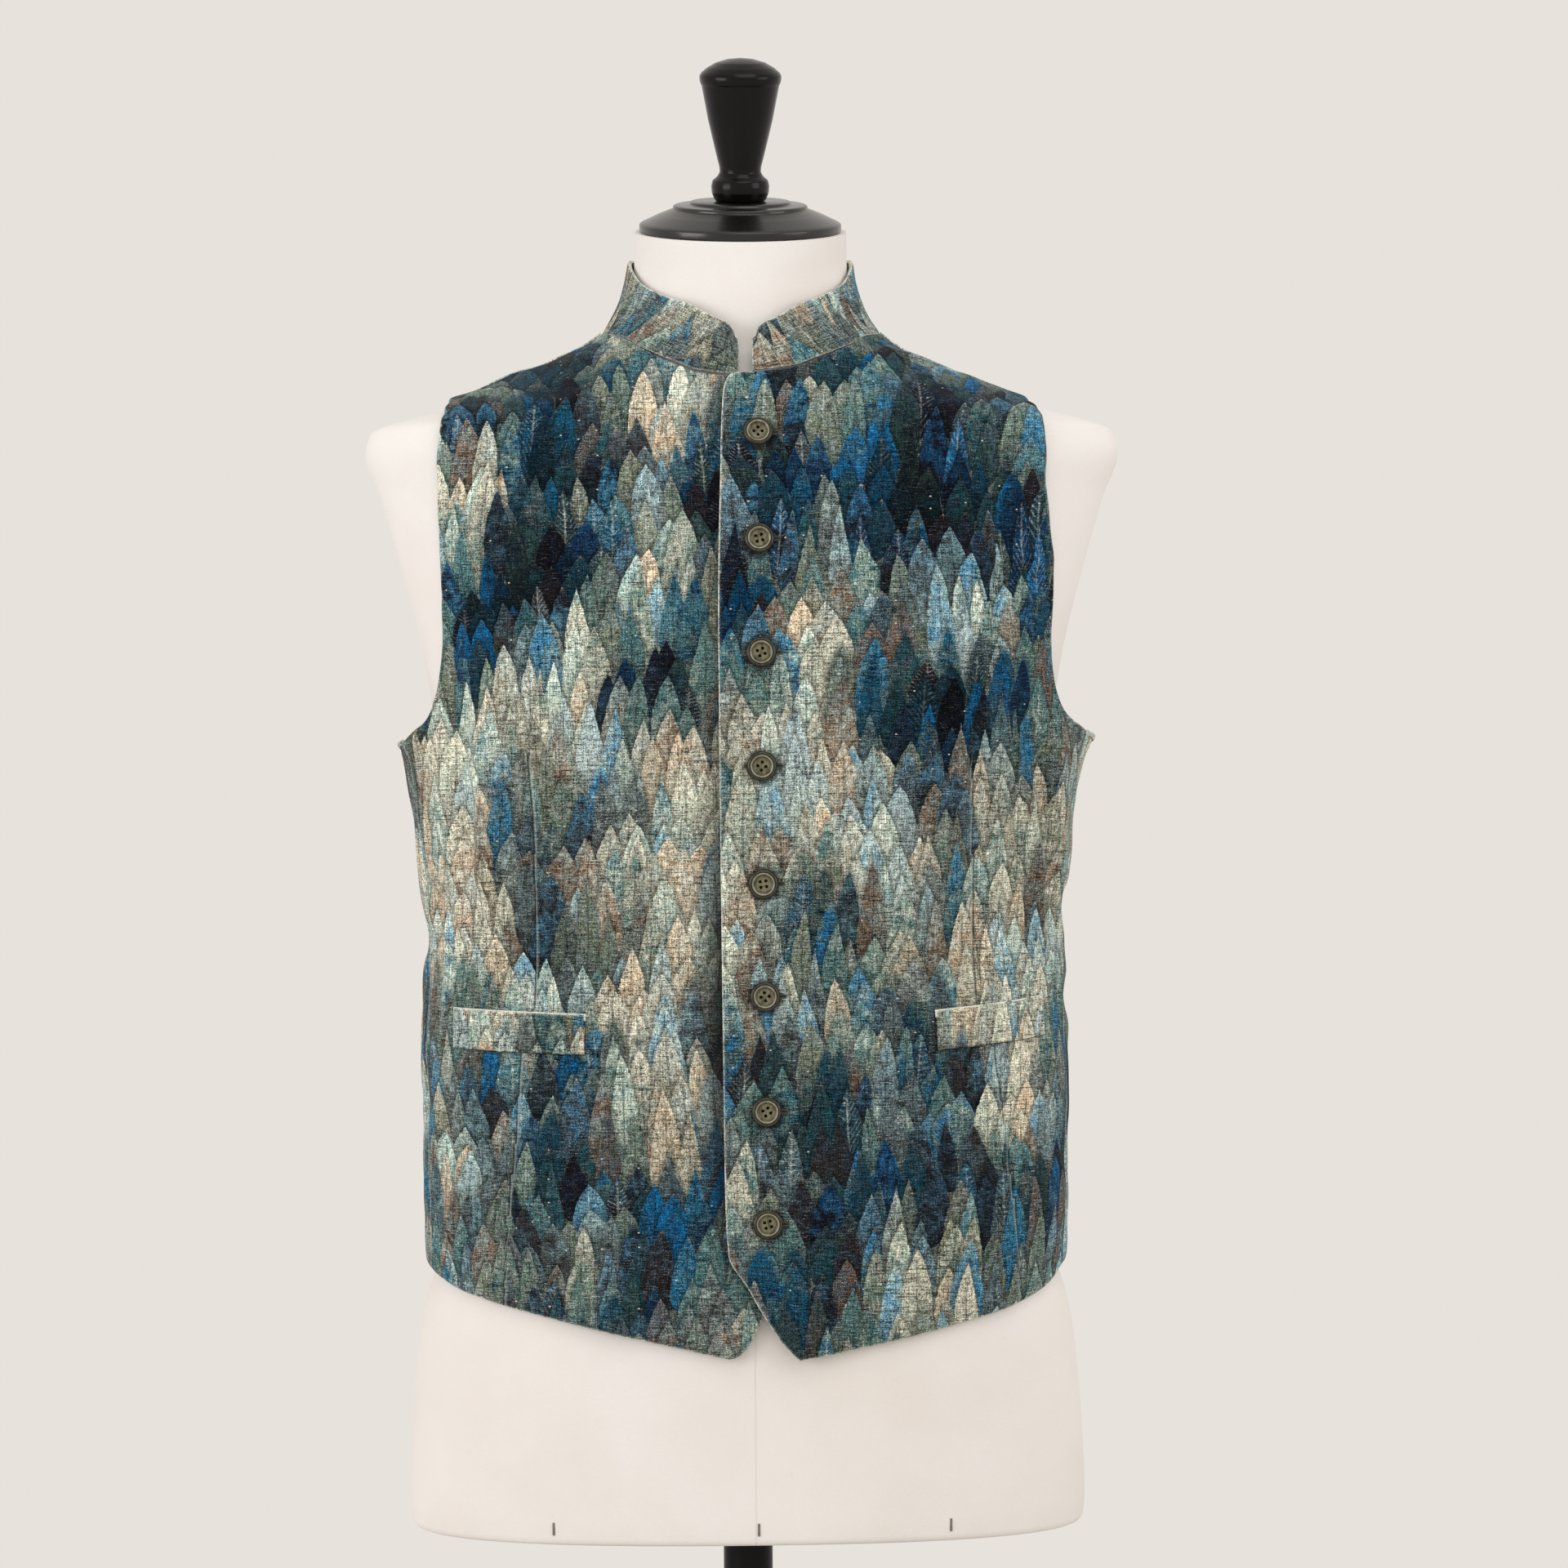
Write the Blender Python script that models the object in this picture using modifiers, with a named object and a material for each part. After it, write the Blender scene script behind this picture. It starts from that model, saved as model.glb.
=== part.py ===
"""A sleeveless stand-collar jacket buttoned over a tailor's dress form that stands on a round foot.

Units are metres. +Z is up, the jacket faces -Y and the wearer's left side is +X. The origin is the
centre of the foot's underside. Heights in the tables count from the bottom edge of the torso, and
angles run round the torso in degrees: 0 at the centre front, 90 at the +X side, 180 at the back.
"""

import math

import bmesh
import bpy
import numpy as np
from mathutils import Matrix, Vector

# ---------------------------------------------------------------- driving sizes
FOOT_RADIUS = 0.170
FOOT_THICKNESS = 0.016
POLE_RADIUS = 0.015
TORSO_LIFT = 0.300          # the torso's bottom edge above the floor
TORSO_TOP = 0.783           # the neck's cut top above the torso's bottom edge
NECK_TILT = math.radians(12.0)
CONTACT_GAP = 0.0003        # what touching pieces keep between them

CLOTH = 0.0022              # jacket wall: face cloth, canvas and backing
COLLAR_CLOTH = 0.0024
COAT_RISE = 0.0040          # the jacket's outside above the form on the shoulders
COAT_EASE = 0.0052          # and out from it on the upright faces
LAP_RISE = 0.0034           # the buttoning edge lies this far over the one below
LAP_FULL, LAP_END = 0.042, 0.075

SIDE_SEAM = 77.0            # degrees from the centre front
SIDE_SEAM_GAP = 0.34        # degrees between the front and the back there
HEM_SIDE, HEM_BACK = 0.151, 0.150
HEM_BOW = (0.0010, -0.0040)         # the right and left front hem's curve above a straight run
HEM_BOW_REACH = 0.080
HEM_CORNER, HEM_CORNER_SPREAD = 0.0050, 17.0    # its rise where it turns round the side, degrees
UNDERARM = (0.4720, 0.4755)         # on the wearer's right side and left side
NECK_CORNER = 0.6880        # top of the front edges
SHOULDER_POINT = (0.6800, 0.6830)   # height of the shoulder seam's outer end, right and left
BACK_NECK = 0.7215

COLLAR_END = 0.95           # degrees from the centre front to the collar's ends
COLLAR_CORNER = 0.012       # radius of its rounded front corners
COLLAR_BUNCHING = 0.14      # how much closer its columns stand at the front than at the back
COLLAR_FLAT_END = 12.0      # degrees within which its top goes straight up from the neck seam
COLLAR_NARROWING = 0.028    # share of its width that it gives up at half its height
SHARP_FOLD = math.radians(35)   # edges that turn more than this are drawn sharp

WELT_HEIGHT = 0.0245
WELT_CLOTH = 0.0020
WELT_SEAT = 0.0009          # between a welt and the front under it, where both are flat

BUTTON_RADIUS = 0.0088
BUTTON_THICKNESS = 0.0034
BUTTON_HOLE_RADIUS = 0.0007
BUTTON_HOLE_PITCH = 0.00235 # from the button's centre to each hole's
BUTTON_SEAT = 0.0005

# Torso: height, half width, depth to the front, depth to the back, squareness of the ring
TORSO = (
    (0.0000, 0.2000, 0.1075, 0.1105, 2.50),
    (0.0120, 0.2060, 0.1150, 0.1190, 2.50),
    (0.0750, 0.2030, 0.1150, 0.1215, 2.50),
    (0.1100, 0.1995, 0.1145, 0.1212, 2.50),
    (0.1350, 0.1950, 0.1130, 0.1200, 2.48),
    (0.1510, 0.1900, 0.1118, 0.1185, 2.45),
    (0.2300, 0.1840, 0.1060, 0.1080, 2.40),
    (0.3200, 0.1760, 0.1010, 0.0940, 2.35),
    (0.4000, 0.1790, 0.1070, 0.0960, 2.35),
    (0.4700, 0.1870, 0.1145, 0.1060, 2.40),
    (0.5200, 0.1940, 0.1165, 0.1100, 2.60),
    (0.5700, 0.2060, 0.1140, 0.1120, 2.80),
    (0.6200, 0.2205, 0.1060, 0.1110, 2.95),
    (0.6460, 0.2295, 0.0985, 0.1070, 3.00),
    (0.6590, 0.2260, 0.0940, 0.1045, 2.95),
    (0.6665, 0.2060, 0.0915, 0.1030, 2.75),
    (0.6735, 0.1800, 0.0875, 0.0998, 2.45),
    (0.6830, 0.1495, 0.0810, 0.0935, 2.25),
    (0.6920, 0.1275, 0.0745, 0.0868, 2.15),
    (0.7020, 0.1050, 0.0690, 0.0800, 2.10),
    (0.7090, 0.0895, 0.0655, 0.0745, 2.05),
    (0.7200, 0.0770, 0.0630, 0.0700, 2.00),
    (0.7340, 0.0705, 0.0620, 0.0668, 2.00),
    (0.7500, 0.0664, 0.0615, 0.0645, 2.00),
    (0.7650, 0.0650, 0.0612, 0.0638, 2.00),
    (TORSO_TOP, 0.0648, 0.0610, 0.0635, 2.00),
)

# Jacket below the chest, its outer face: the same columns. Above, it follows the torso.
COAT = (
    (0.100, 0.1955, 0.1200, 0.1265, 2.50),
    (0.150, 0.1957, 0.1200, 0.1262, 2.50),
    (0.210, 0.1964, 0.1200, 0.1230, 2.48),
    (0.280, 0.1982, 0.1200, 0.1160, 2.45),
    (0.345, 0.1953, 0.1205, 0.1115, 2.45),
    (0.410, 0.2000, 0.1225, 0.1115, 2.40),
    (0.4735, 0.2085, 0.1245, 0.1155, 2.40),
    (0.520, 0.2025, 0.1255, 0.1180, 2.55),
)
COAT_LEAVES_TORSO = (0.500, 0.570)

# Neck seam: degrees from the centre front, height
NECK_SEAM = (
    (-25.0, 0.6870), (0.0, 0.6880), (9.4, 0.6912), (16.6, 0.6965), (32.5, 0.7060),
    (58.0, 0.7165), (90.0, 0.7205), (122.0, 0.7225), (150.0, 0.7220), (180.0, BACK_NECK),
)

# Buttoning edge of the left front, on top, and of the right front, below: height, and how far the
# cloth reaches from the centre front towards the front's own side seam
LEFT_EDGE = (
    (0.1065, 0.0270), (0.1090, 0.0235), (0.1320, 0.0060), (0.1485, -0.0034), (0.1680, -0.0148),
    (0.2000, -0.0165), (0.2800, -0.0172), (0.5400, -0.0187), (0.6400, -0.0162),
    (0.6760, -0.0142), (0.6840, -0.0118), (NECK_CORNER, -0.0085),
)
RIGHT_EDGE = (
    (0.1065, 0.0180), (0.1136, 0.0080), (0.1320, -0.0060), (0.1500, -0.0200), (0.1660, -0.0300),
    (0.1850, -0.0330), (0.6400, -0.0330), (0.6760, -0.0320), (NECK_CORNER, -0.0290),
)

# Armholes above the side seam: the back one scoops down first (degrees, height), then both run
# up as height and distance from the middle, on the wearer's right side and left side
BACK_SCOOP = ((84.0, -0.0022), (90.0, -0.0040), (98.0, -0.0048), (107.0, -0.0025), (116.0, 0.0050))
FRONT_ARMHOLE = (
    (0.4843, 0.1926, 0.1951), (0.4942, 0.1877, 0.1892), (0.5040, 0.1848, 0.1863),
    (0.5140, 0.1833, 0.1845), (0.5335, 0.1822, 0.1833), (0.5728, 0.1823, 0.1847),
    (0.6020, 0.1837, 0.1808), (0.6320, 0.1843, 0.1786), (0.6515, 0.1835, 0.1785),
    (0.6630, 0.1822, 0.1772), (0.6710, 0.1800, 0.1748), (0.6760, 0.1780, 0.1722),
)
BACK_ARMHOLE = (
    (0.4990, 0.1840, 0.1850), (0.5150, 0.1812, 0.1820), (0.5600, 0.1812, 0.1825),
    (0.6020, 0.1817, 0.1788), (0.6320, 0.1822, 0.1767), (0.6515, 0.1813, 0.1763),
    (0.6630, 0.1800, 0.1750), (0.6710, 0.1783, 0.1730), (0.6760, 0.1770, 0.1712),
)

# Collar top: degrees from the centre front, height; its ring's half width, front and back depth
COLLAR_TOP = (
    (0.0, 0.7215), (10.0, 0.7225), (18.0, 0.7264), (28.0, 0.7328), (44.0, 0.7393),
    (61.0, 0.7470), (78.0, 0.7570), (90.0, 0.7640), (120.0, 0.7665), (150.0, 0.7650), (180.0, 0.7640),
)
COLLAR_TOP_RING = (0.0692, 0.0730, 0.0690)

# Largest folds of the cloth: side, first angle and height, last angle and height, half width, rise
FOLDS = (
    (-1, 57.5, 0.485, 65.0, 0.395, 0.010, 0.0040),
    (-1, 51.5, 0.485, 57.2, 0.370, 0.009, -0.0045),
    (-1, 44.5, 0.485, 49.0, 0.380, 0.011, 0.0030),
    (-1, 80.0, 0.353, 104.0, 0.350, 0.011, -0.0042),
    (1, 45.7, 0.493, 67.0, 0.350, 0.010, -0.0048),
    (1, 58.0, 0.487, 70.5, 0.380, 0.012, 0.0042),
    (1, 86.0, 0.473, 97.0, 0.471, 0.0095, 0.0045),
    (1, 80.0, 0.372, 104.0, 0.362, 0.011, -0.0055),
    (1, 80.0, 0.317, 104.0, 0.308, 0.010, -0.0045),
    (1, 34.0, 0.560, 52.0, 0.554, 0.010, -0.0015),
    (1, 32.0, 0.577, 50.0, 0.572, 0.010, 0.0022),
    (-1, 8.0, 0.560, 9.0, 0.240, 0.009, -0.0022),
    (1, 128.0, 0.400, 128.0, 0.250, 0.014, 0.0040),
    (-1, 130.0, 0.410, 126.0, 0.230, 0.014, 0.0040),
    (1, 152.0, 0.360, 158.0, 0.210, 0.016, -0.0035),
    (-1, 150.0, 0.350, 156.0, 0.220, 0.016, -0.0035),
    (1, 118.0, 0.500, 140.0, 0.450, 0.013, -0.0035),
    (-1, 118.0, 0.500, 140.0, 0.455, 0.013, -0.0035),
)

# Welt pockets: side, inner and outer angle, height of the top edge at each
WELTS = (
    ("welt_right", -1, 24.1, 59.5, 0.3093, 0.3105),
    ("welt_left", 1, 28.6, 60.5, 0.3110, 0.3180),
)

# Buttons: height and distance from the centre front
BUTTONS = (
    (0.6536, 0.0060), (0.5908, 0.0058), (0.5236, 0.0062), (0.4556, 0.0062),
    (0.3864, 0.0068), (0.3202, 0.0074), (0.2525, 0.0080), (0.1863, 0.0084),
)

# Turned pieces: radius and height up the axis
NECK_CAP_PROFILE = (
    (0.0000, 0.0185), (0.0300, 0.0185), (0.0310, 0.0178), (0.0312, 0.0168), (0.0400, 0.0164),
    (0.0412, 0.0156), (0.0412, 0.0140), (0.0500, 0.0105), (0.0600, 0.0058), (0.0618, 0.0046),
    (0.0618, 0.0006), (0.0612, 0.0000), (0.0000, 0.0000),
)
FINIAL_PROFILE = (
    (0.0000, 0.0890), (0.0080, 0.0882), (0.0160, 0.0860), (0.0220, 0.0825), (0.0246, 0.0795),
    (0.0252, 0.0765), (0.0240, 0.0705), (0.0197, 0.0490), (0.0152, 0.0300), (0.0128, 0.0205),
    (0.0126, 0.0175), (0.0140, 0.0150), (0.0170, 0.0125), (0.0178, 0.0090), (0.0175, 0.0050),
    (0.0158, 0.0008), (0.0150, 0.0000), (0.0000, 0.0000),
)
FOOT_PROFILE = (
    (0.0000, 0.0420), (0.0200, 0.0420), (0.0225, 0.0395), (0.0240, 0.0260), (0.0330, 0.0195),
    (0.0500, 0.0172), (FOOT_RADIUS - 0.0100, FOOT_THICKNESS), (FOOT_RADIUS - 0.0030, 0.0140),
    (FOOT_RADIUS, 0.0100), (FOOT_RADIUS, 0.0025), (FOOT_RADIUS - 0.0020, 0.0000), (0.0000, 0.0000),
)
FOOT_TOP = 0.0420
BUTTON_PROFILE = (
    (0.0000, 0.0022), (0.0054, 0.0023), (0.0066, BUTTON_THICKNESS), (0.0080, 0.0032),
    (BUTTON_RADIUS, 0.0019), (0.0068, 0.0000), (0.0000, 0.0000),
)

# ---------------------------------------------------------------- mesh detail
TORSO_SEGMENTS = 40
TURNED_SEGMENTS = 24
FOOT_SEGMENTS = 36
BUTTON_SEGMENTS = 12
FRONT_COLUMNS = 14
BACK_COLUMNS = 14           # on each side of the centre back
COLLAR_COLUMNS = 52
COLLAR_ROWS = 3
CURVE_SAMPLES = 160
EVEN_RING = 0.500           # the height whose ring spaces points evenly round the figure

COLOURS = {                 # name: base colour, roughness
    "printed_velvet": ((0.10, 0.19, 0.22, 1.0), 0.80),
    "horn_button": ((0.085, 0.080, 0.058, 1.0), 0.35),
    "form_canvas": ((0.80, 0.75, 0.69, 1.0), 0.85),
    "black_lacquer": ((0.012, 0.011, 0.010, 1.0), 0.28),
    "black_metal": ((0.010, 0.010, 0.010, 1.0), 0.40),
}


# ---------------------------------------------------------------- curves and sections
def smooth_steps(knots, values, at):
    """A smooth curve through the knots that never overshoots them (monotone cubic)."""
    knots, values = np.asarray(knots, float), np.asarray(values, float)
    at = np.clip(at, knots[0], knots[-1])
    width = np.diff(knots)
    slope = np.diff(values) / width
    tangent = np.empty_like(values)
    tangent[0], tangent[-1] = slope[0], slope[-1]
    same_way = slope[:-1] * slope[1:] > 0
    safe = np.where(same_way, slope[:-1] * slope[1:], 1.0)
    mean = 2.0 * safe / np.where(same_way, slope[:-1] + slope[1:], 1.0)
    tangent[1:-1] = np.where(same_way, mean, 0.0)
    i = np.clip(np.searchsorted(knots, at, side="right") - 1, 0, len(width) - 1)
    t = (at - knots[i]) / width[i]
    start = (1 + 2 * t) * (1 - t) ** 2 * values[i] + t * (1 - t) ** 2 * width[i] * tangent[i]
    end = t * t * (3 - 2 * t) * values[i + 1] + t * t * (t - 1) * width[i] * tangent[i + 1]
    return start + end


def read(table, at, column=1):
    """One column of a table at the given values of its first column."""
    return smooth_steps([row[0] for row in table], [row[column] for row in table], at)


def ease_between(low, high, value):
    """0 below low, 1 above high and smooth between."""
    share = np.clip((value - low) / (high - low), 0.0, 1.0)
    return share * share * (3 - 2 * share)


def torso_ring(height):
    """Half width, front depth, back depth and squareness of the torso at these heights."""
    return [read(TORSO, height, column) for column in (1, 2, 3, 4)]


def coat_ring(height):
    """The same four sizes for the jacket's outer face."""
    share = ease_between(*COAT_LEAVES_TORSO, height)
    own = [read(COAT, height, column) for column in (1, 2, 3, 4)]
    carried = torso_ring(height - COAT_RISE)
    for size in range(3):
        carried[size] = carried[size] + COAT_EASE
    return [low * (1 - share) + high * share for low, high in zip(own, carried)]


def ring_point(degrees, height, ring):
    """Points of a rounded-rectangle ring: one row of x, y, z for each angle and height."""
    half_width, front, back, squareness = ring
    across, along = np.sin(np.radians(degrees)), np.cos(np.radians(degrees))
    power = 2.0 / squareness
    x = half_width * np.sign(across) * np.abs(across) ** power
    y = -np.sign(along) * np.where(along > 0, front, back) * np.abs(along) ** power
    return np.stack([x, y, height + np.zeros_like(x)], axis=-1)


def coat_face(degrees, height):
    """The jacket's outer face before its folds."""
    return ring_point(degrees, height, coat_ring(height))


def coat_normal(degrees, height):
    """Unit vectors out of that face."""
    step_round, step_up = 0.4, 0.0008
    round_it = coat_face(degrees + step_round, height) - coat_face(degrees - step_round, height)
    up_it = coat_face(degrees, height + step_up) - coat_face(degrees, height - step_up)
    normal = np.cross(round_it, up_it)
    return normal / np.linalg.norm(normal, axis=-1, keepdims=True)


def degrees_at(x, height, behind=False):
    """The angle at which the jacket's ring at this height reaches x."""
    half_width, _, _, squareness = coat_ring(height)
    share = np.clip(np.abs(x) / half_width, 0.0, 1.0) ** (squareness / 2.0)
    degrees = np.degrees(np.arcsin(share)) * np.sign(x)
    return 180.0 - degrees if behind else degrees


def even_ring():
    """Angles round the figure, and how far round its girth each one lies."""
    degrees = np.linspace(-90.0, 270.0, 8 * CURVE_SAMPLES + 1)
    points = ring_point(degrees, EVEN_RING, torso_ring(np.full_like(degrees, EVEN_RING)))
    steps = np.linalg.norm(np.diff(points, axis=0), axis=1)
    return degrees, np.concatenate([[0.0], np.cumsum(steps)])


RING_DEGREES, RING_RUN = even_ring()


def run_at(degrees):
    """How far round the girth an angle lies."""
    return np.interp(degrees, RING_DEGREES, RING_RUN)


def degrees_at_run(run):
    """The angle that lies so far round the girth."""
    return np.interp(run, RING_RUN, RING_DEGREES)


# ---------------------------------------------------------------- folds
def distance_to_line(points, line):
    """Distance from each point to a line of points, and how far along it the nearest one is."""
    best = np.full(points.shape[:-1], np.inf)
    along = np.zeros(points.shape[:-1])
    for i in range(len(line) - 1):
        start, run = line[i], line[i + 1] - line[i]
        t = np.clip((points - start) @ run / (run @ run), 0.0, 1.0)
        away = np.linalg.norm(points - start - t[..., None] * run, axis=-1)
        nearer = away < best
        best = np.where(nearer, away, best)
        along = np.where(nearer, (i + t) / (len(line) - 1), along)
    return best, along


def fold_height(points):
    """How far the folds lift the cloth at these points of the plain face."""
    lift = np.zeros(points.shape[:-1])
    for side, start, low, end, high, half_width, rise in FOLDS:
        share = np.linspace(0.0, 1.0, 9)
        line = coat_face(start + (end - start) * share, low + (high - low) * share)
        line[:, 0] *= side
        away, along = distance_to_line(points, line)
        lift += rise * np.exp(-((away / half_width) ** 2)) * (1 - 0.5 * (2 * along - 1) ** 4)
    return lift


def lap_height(x):
    """How far the left front is lifted where it lies over the right one."""
    return LAP_RISE * (1 - ease_between(LAP_FULL, LAP_END, x))


def coat_points(degrees, height, side, lapped=False, out=0.0):
    """Points of the jacket's outer face on one side, folds and overlap included."""
    degrees, height = np.broadcast_arrays(np.asarray(degrees, float), np.asarray(height, float))
    plain, normal = coat_face(degrees, height), coat_normal(degrees, height)
    lap = lap_height(plain[..., 0]) if lapped else 0.0
    mirror = np.array([side, 1.0, 1.0])
    plain, normal = plain * mirror, normal * mirror
    return plain + normal * (fold_height(plain) + lap + out)[..., None]


# ---------------------------------------------------------------- edges of the cut pieces
def even_curve(degrees, height, parts):
    """The curve through these angles and heights, cut into parts of equal length on the cloth."""
    points = coat_face(degrees, height)
    run = np.concatenate([[0.0], np.cumsum(np.linalg.norm(np.diff(points, axis=0), axis=1))])
    at = np.linspace(0.0, run[-1], parts + 1)
    return np.interp(at, run, degrees), np.interp(at, run, height)


def curve_through(stations):
    """A smooth dense curve through (degrees, height) stations."""
    degrees, height = (np.array(column, float) for column in zip(*stations))
    steps = np.linalg.norm(np.diff(coat_face(degrees, height), axis=0), axis=1)
    run = np.concatenate([[0.0], np.cumsum(steps)])
    at = np.linspace(0.0, run[-1], CURVE_SAMPLES)
    return smooth_steps(run, degrees, at), smooth_steps(run, height, at)


def share_of(curve, low, high):
    """The stretch of a curve between two shares of its length on the cloth."""
    degrees, height = even_curve(*curve, 4 * CURVE_SAMPLES)
    first, last = round(low * 4 * CURVE_SAMPLES), round(high * 4 * CURVE_SAMPLES)
    return degrees[first:last + 1], height[first:last + 1]


def front_edge(table):
    """The buttoning edge, from the hem's point up to the neck."""
    height = np.linspace(table[0][0], NECK_CORNER, 4 * CURVE_SAMPLES)
    return degrees_at(read(table, height), height), height


def neck_seam(start, end):
    """The neck seam between two angles."""
    degrees = np.linspace(start, end, CURVE_SAMPLES)
    return degrees, read(NECK_SEAM, degrees)


def hem_corner(degrees):
    """How far the hem rises where it turns round the side."""
    return HEM_CORNER * np.exp(-(((degrees - 90.0) / HEM_CORNER_SPREAD) ** 2))


def side_seam(side, degrees):
    """One side's seam from hem to underarm, at the front's angle or at the back's."""
    height = np.linspace(HEM_SIDE, UNDERARM[side > 0], CURVE_SAMPLES)
    return np.full(CURVE_SAMPLES, degrees), height


def front_armhole(side):
    """A front's armhole from the side seam up to the shoulder point."""
    stations = [(SIDE_SEAM, UNDERARM[side > 0])]
    stations += [(float(degrees_at(row[1 + (side > 0)], row[0])), row[0]) for row in FRONT_ARMHOLE]
    return curve_through(stations + [(90.0, SHOULDER_POINT[side > 0])])


def back_armhole(side):
    """The back's armhole on one side, from the seam, under the arm and up to the shoulder point."""
    underarm = UNDERARM[side > 0]
    stations = [(SIDE_SEAM + SIDE_SEAM_GAP, underarm)]
    stations += [(degrees, underarm + rise) for degrees, rise in BACK_SCOOP]
    for row in BACK_ARMHOLE:
        stations.append((float(degrees_at(row[1 + (side > 0)], row[0], behind=True)), row[0]))
    return curve_through(stations + [(90.0, SHOULDER_POINT[side > 0])])


def patch(bands, columns):
    """Angles and heights of a cut piece, row by row, between its two side edges.

    Each band is an inner edge, an outer edge and the number of rows between its ends.
    """
    rows = []
    for inner, outer, count in bands:
        inner_degrees, inner_height = even_curve(*inner, count)
        outer_degrees, outer_height = even_curve(*outer, count)
        across = np.linspace(0.0, 1.0, columns + 1)[None, :]
        inner_run, outer_run = run_at(inner_degrees), run_at(outer_degrees)
        degrees = degrees_at_run(inner_run[:, None] * (1 - across) + outer_run[:, None] * across)
        height = inner_height[:, None] * (1 - across) + outer_height[:, None] * across
        keep = slice(1 if rows else 0, None)
        rows.append((degrees[keep], height[keep]))
    return np.concatenate([r[0] for r in rows]), np.concatenate([r[1] for r in rows])


# ---------------------------------------------------------------- Blender helpers
def clear_scene():
    for obj in list(bpy.data.objects):
        bpy.data.objects.remove(obj, do_unlink=True)


def collection(name):
    made = bpy.data.collections.new(name)
    bpy.context.scene.collection.children.link(made)
    return made


def material(name):
    colour, roughness = COLOURS[name]
    made = bpy.data.materials.get(name) or bpy.data.materials.new(name)
    made.use_nodes = True
    shader = made.node_tree.nodes["Principled BSDF"]
    shader.inputs["Base Color"].default_value = colour
    shader.inputs["Roughness"].default_value = roughness
    made.diffuse_color = colour
    return made


def finish(bm, name, finish_name, group, location=(0.0, 0.0, TORSO_LIFT)):
    """Turns a bmesh into a named, smooth-shaded object at its place."""
    mesh = bpy.data.meshes.new(name)
    bm.to_mesh(mesh)
    bm.free()
    mesh.shade_smooth()
    mesh.set_sharp_from_angle(angle=SHARP_FOLD)
    obj = bpy.data.objects.new(name, mesh)
    obj.data.materials.append(material(finish_name))
    obj.location = location
    group.objects.link(obj)
    return obj


def thicken(obj, thickness):
    """Gives an open face its wall, inwards from the modelled outside."""
    solidify = obj.modifiers.new("wall", "SOLIDIFY")
    solidify.thickness = thickness
    solidify.offset = -1.0


def grid_of(points):
    """A bmesh grid laid over a table of points, its faces turned outwards from the torso."""
    rows, columns = points.shape[:2]
    bm = bmesh.new()
    bmesh.ops.create_grid(bm, x_segments=columns - 1, y_segments=rows - 1, size=1.0)
    bm.verts.ensure_lookup_table()
    for i, vert in enumerate(bm.verts):
        vert.co = Vector(points[i // columns, i % columns])
    bm.normal_update()
    middle = max(bm.faces, key=lambda face: face.calc_area())
    outwards = middle.calc_center_median() * Vector((1.0, 1.0, 0.0))
    if middle.normal.dot(outwards) < 0:
        bmesh.ops.reverse_faces(bm, faces=bm.faces)
    return bm


def turned(profile, segments, name, finish_name, group, location):
    """A solid of revolution about its own Z from a profile of radius and height."""
    bm = bmesh.new()
    chain = [bm.verts.new((radius, 0.0, height)) for radius, height in profile]
    for pair in zip(chain, chain[1:]):
        bm.edges.new(pair)
    obj = finish(bm, name, finish_name, group, location)
    screw = obj.modifiers.new("turn", "SCREW")
    screw.steps = segments
    screw.render_steps = segments
    screw.use_merge_vertices = True
    screw.merge_threshold = 0.00005
    return obj


# ---------------------------------------------------------------- dress form
def build_torso(group):
    """Torso, shoulder ends and neck in one loft, cut off by the tilted plane under the neck cap."""
    heights = [row[0] for row in TORSO]
    heights += [(low + high) / 2 for low, high in zip(heights[3:8], heights[4:9])]
    heights.sort()
    degrees = degrees_at_run(np.linspace(0.0, RING_RUN[-1], TORSO_SEGMENTS, endpoint=False))
    bm = bmesh.new()
    rings = []
    for height in heights:
        ring = ring_point(degrees, height, torso_ring(np.full_like(degrees, height)))
        tilt = float(ease_between(0.730, TORSO_TOP, height)) * math.tan(NECK_TILT)
        ring[:, 2] += ring[:, 1] * tilt
        rings.append([bm.verts.new(point) for point in ring])
    for low, high in zip(rings, rings[1:]):
        for i in range(TORSO_SEGMENTS):
            j = (i + 1) % TORSO_SEGMENTS
            bm.faces.new((low[i], low[j], high[j], high[i]))
    bm.faces.new(reversed(rings[0]))
    bm.faces.new(rings[-1])
    return finish(bm, "form_torso", "form_canvas", group)


def build_form(group):
    """The torso with its neck cap, finial, pole and foot."""
    build_torso(group)
    up_the_neck = Matrix.Rotation(NECK_TILT, 4, "X") @ Vector((0.0, 0.0, 1.0))
    seat = Vector((0.0, 0.0, TORSO_LIFT + TORSO_TOP)) + up_the_neck * CONTACT_GAP
    on_cap = seat + up_the_neck * (NECK_CAP_PROFILE[0][1] + CONTACT_GAP)
    for name, profile, place in (
        ("form_neck_cap", NECK_CAP_PROFILE, seat),
        ("form_finial", FINIAL_PROFILE, on_cap),
    ):
        piece = turned(profile, TURNED_SEGMENTS, name, "black_lacquer", group, place)
        piece.rotation_euler = (NECK_TILT, 0.0, 0.0)
    turned(FOOT_PROFILE, FOOT_SEGMENTS, "form_foot", "black_metal", group, (0, 0, 0))
    pole = bmesh.new()
    length = TORSO_LIFT - FOOT_TOP - 2 * CONTACT_GAP
    bmesh.ops.create_cone(
        pole, cap_ends=True, segments=24, radius1=POLE_RADIUS, radius2=POLE_RADIUS, depth=length
    )
    finish(pole, "form_pole", "black_metal", group, (0, 0, FOOT_TOP + CONTACT_GAP + length / 2))


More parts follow.
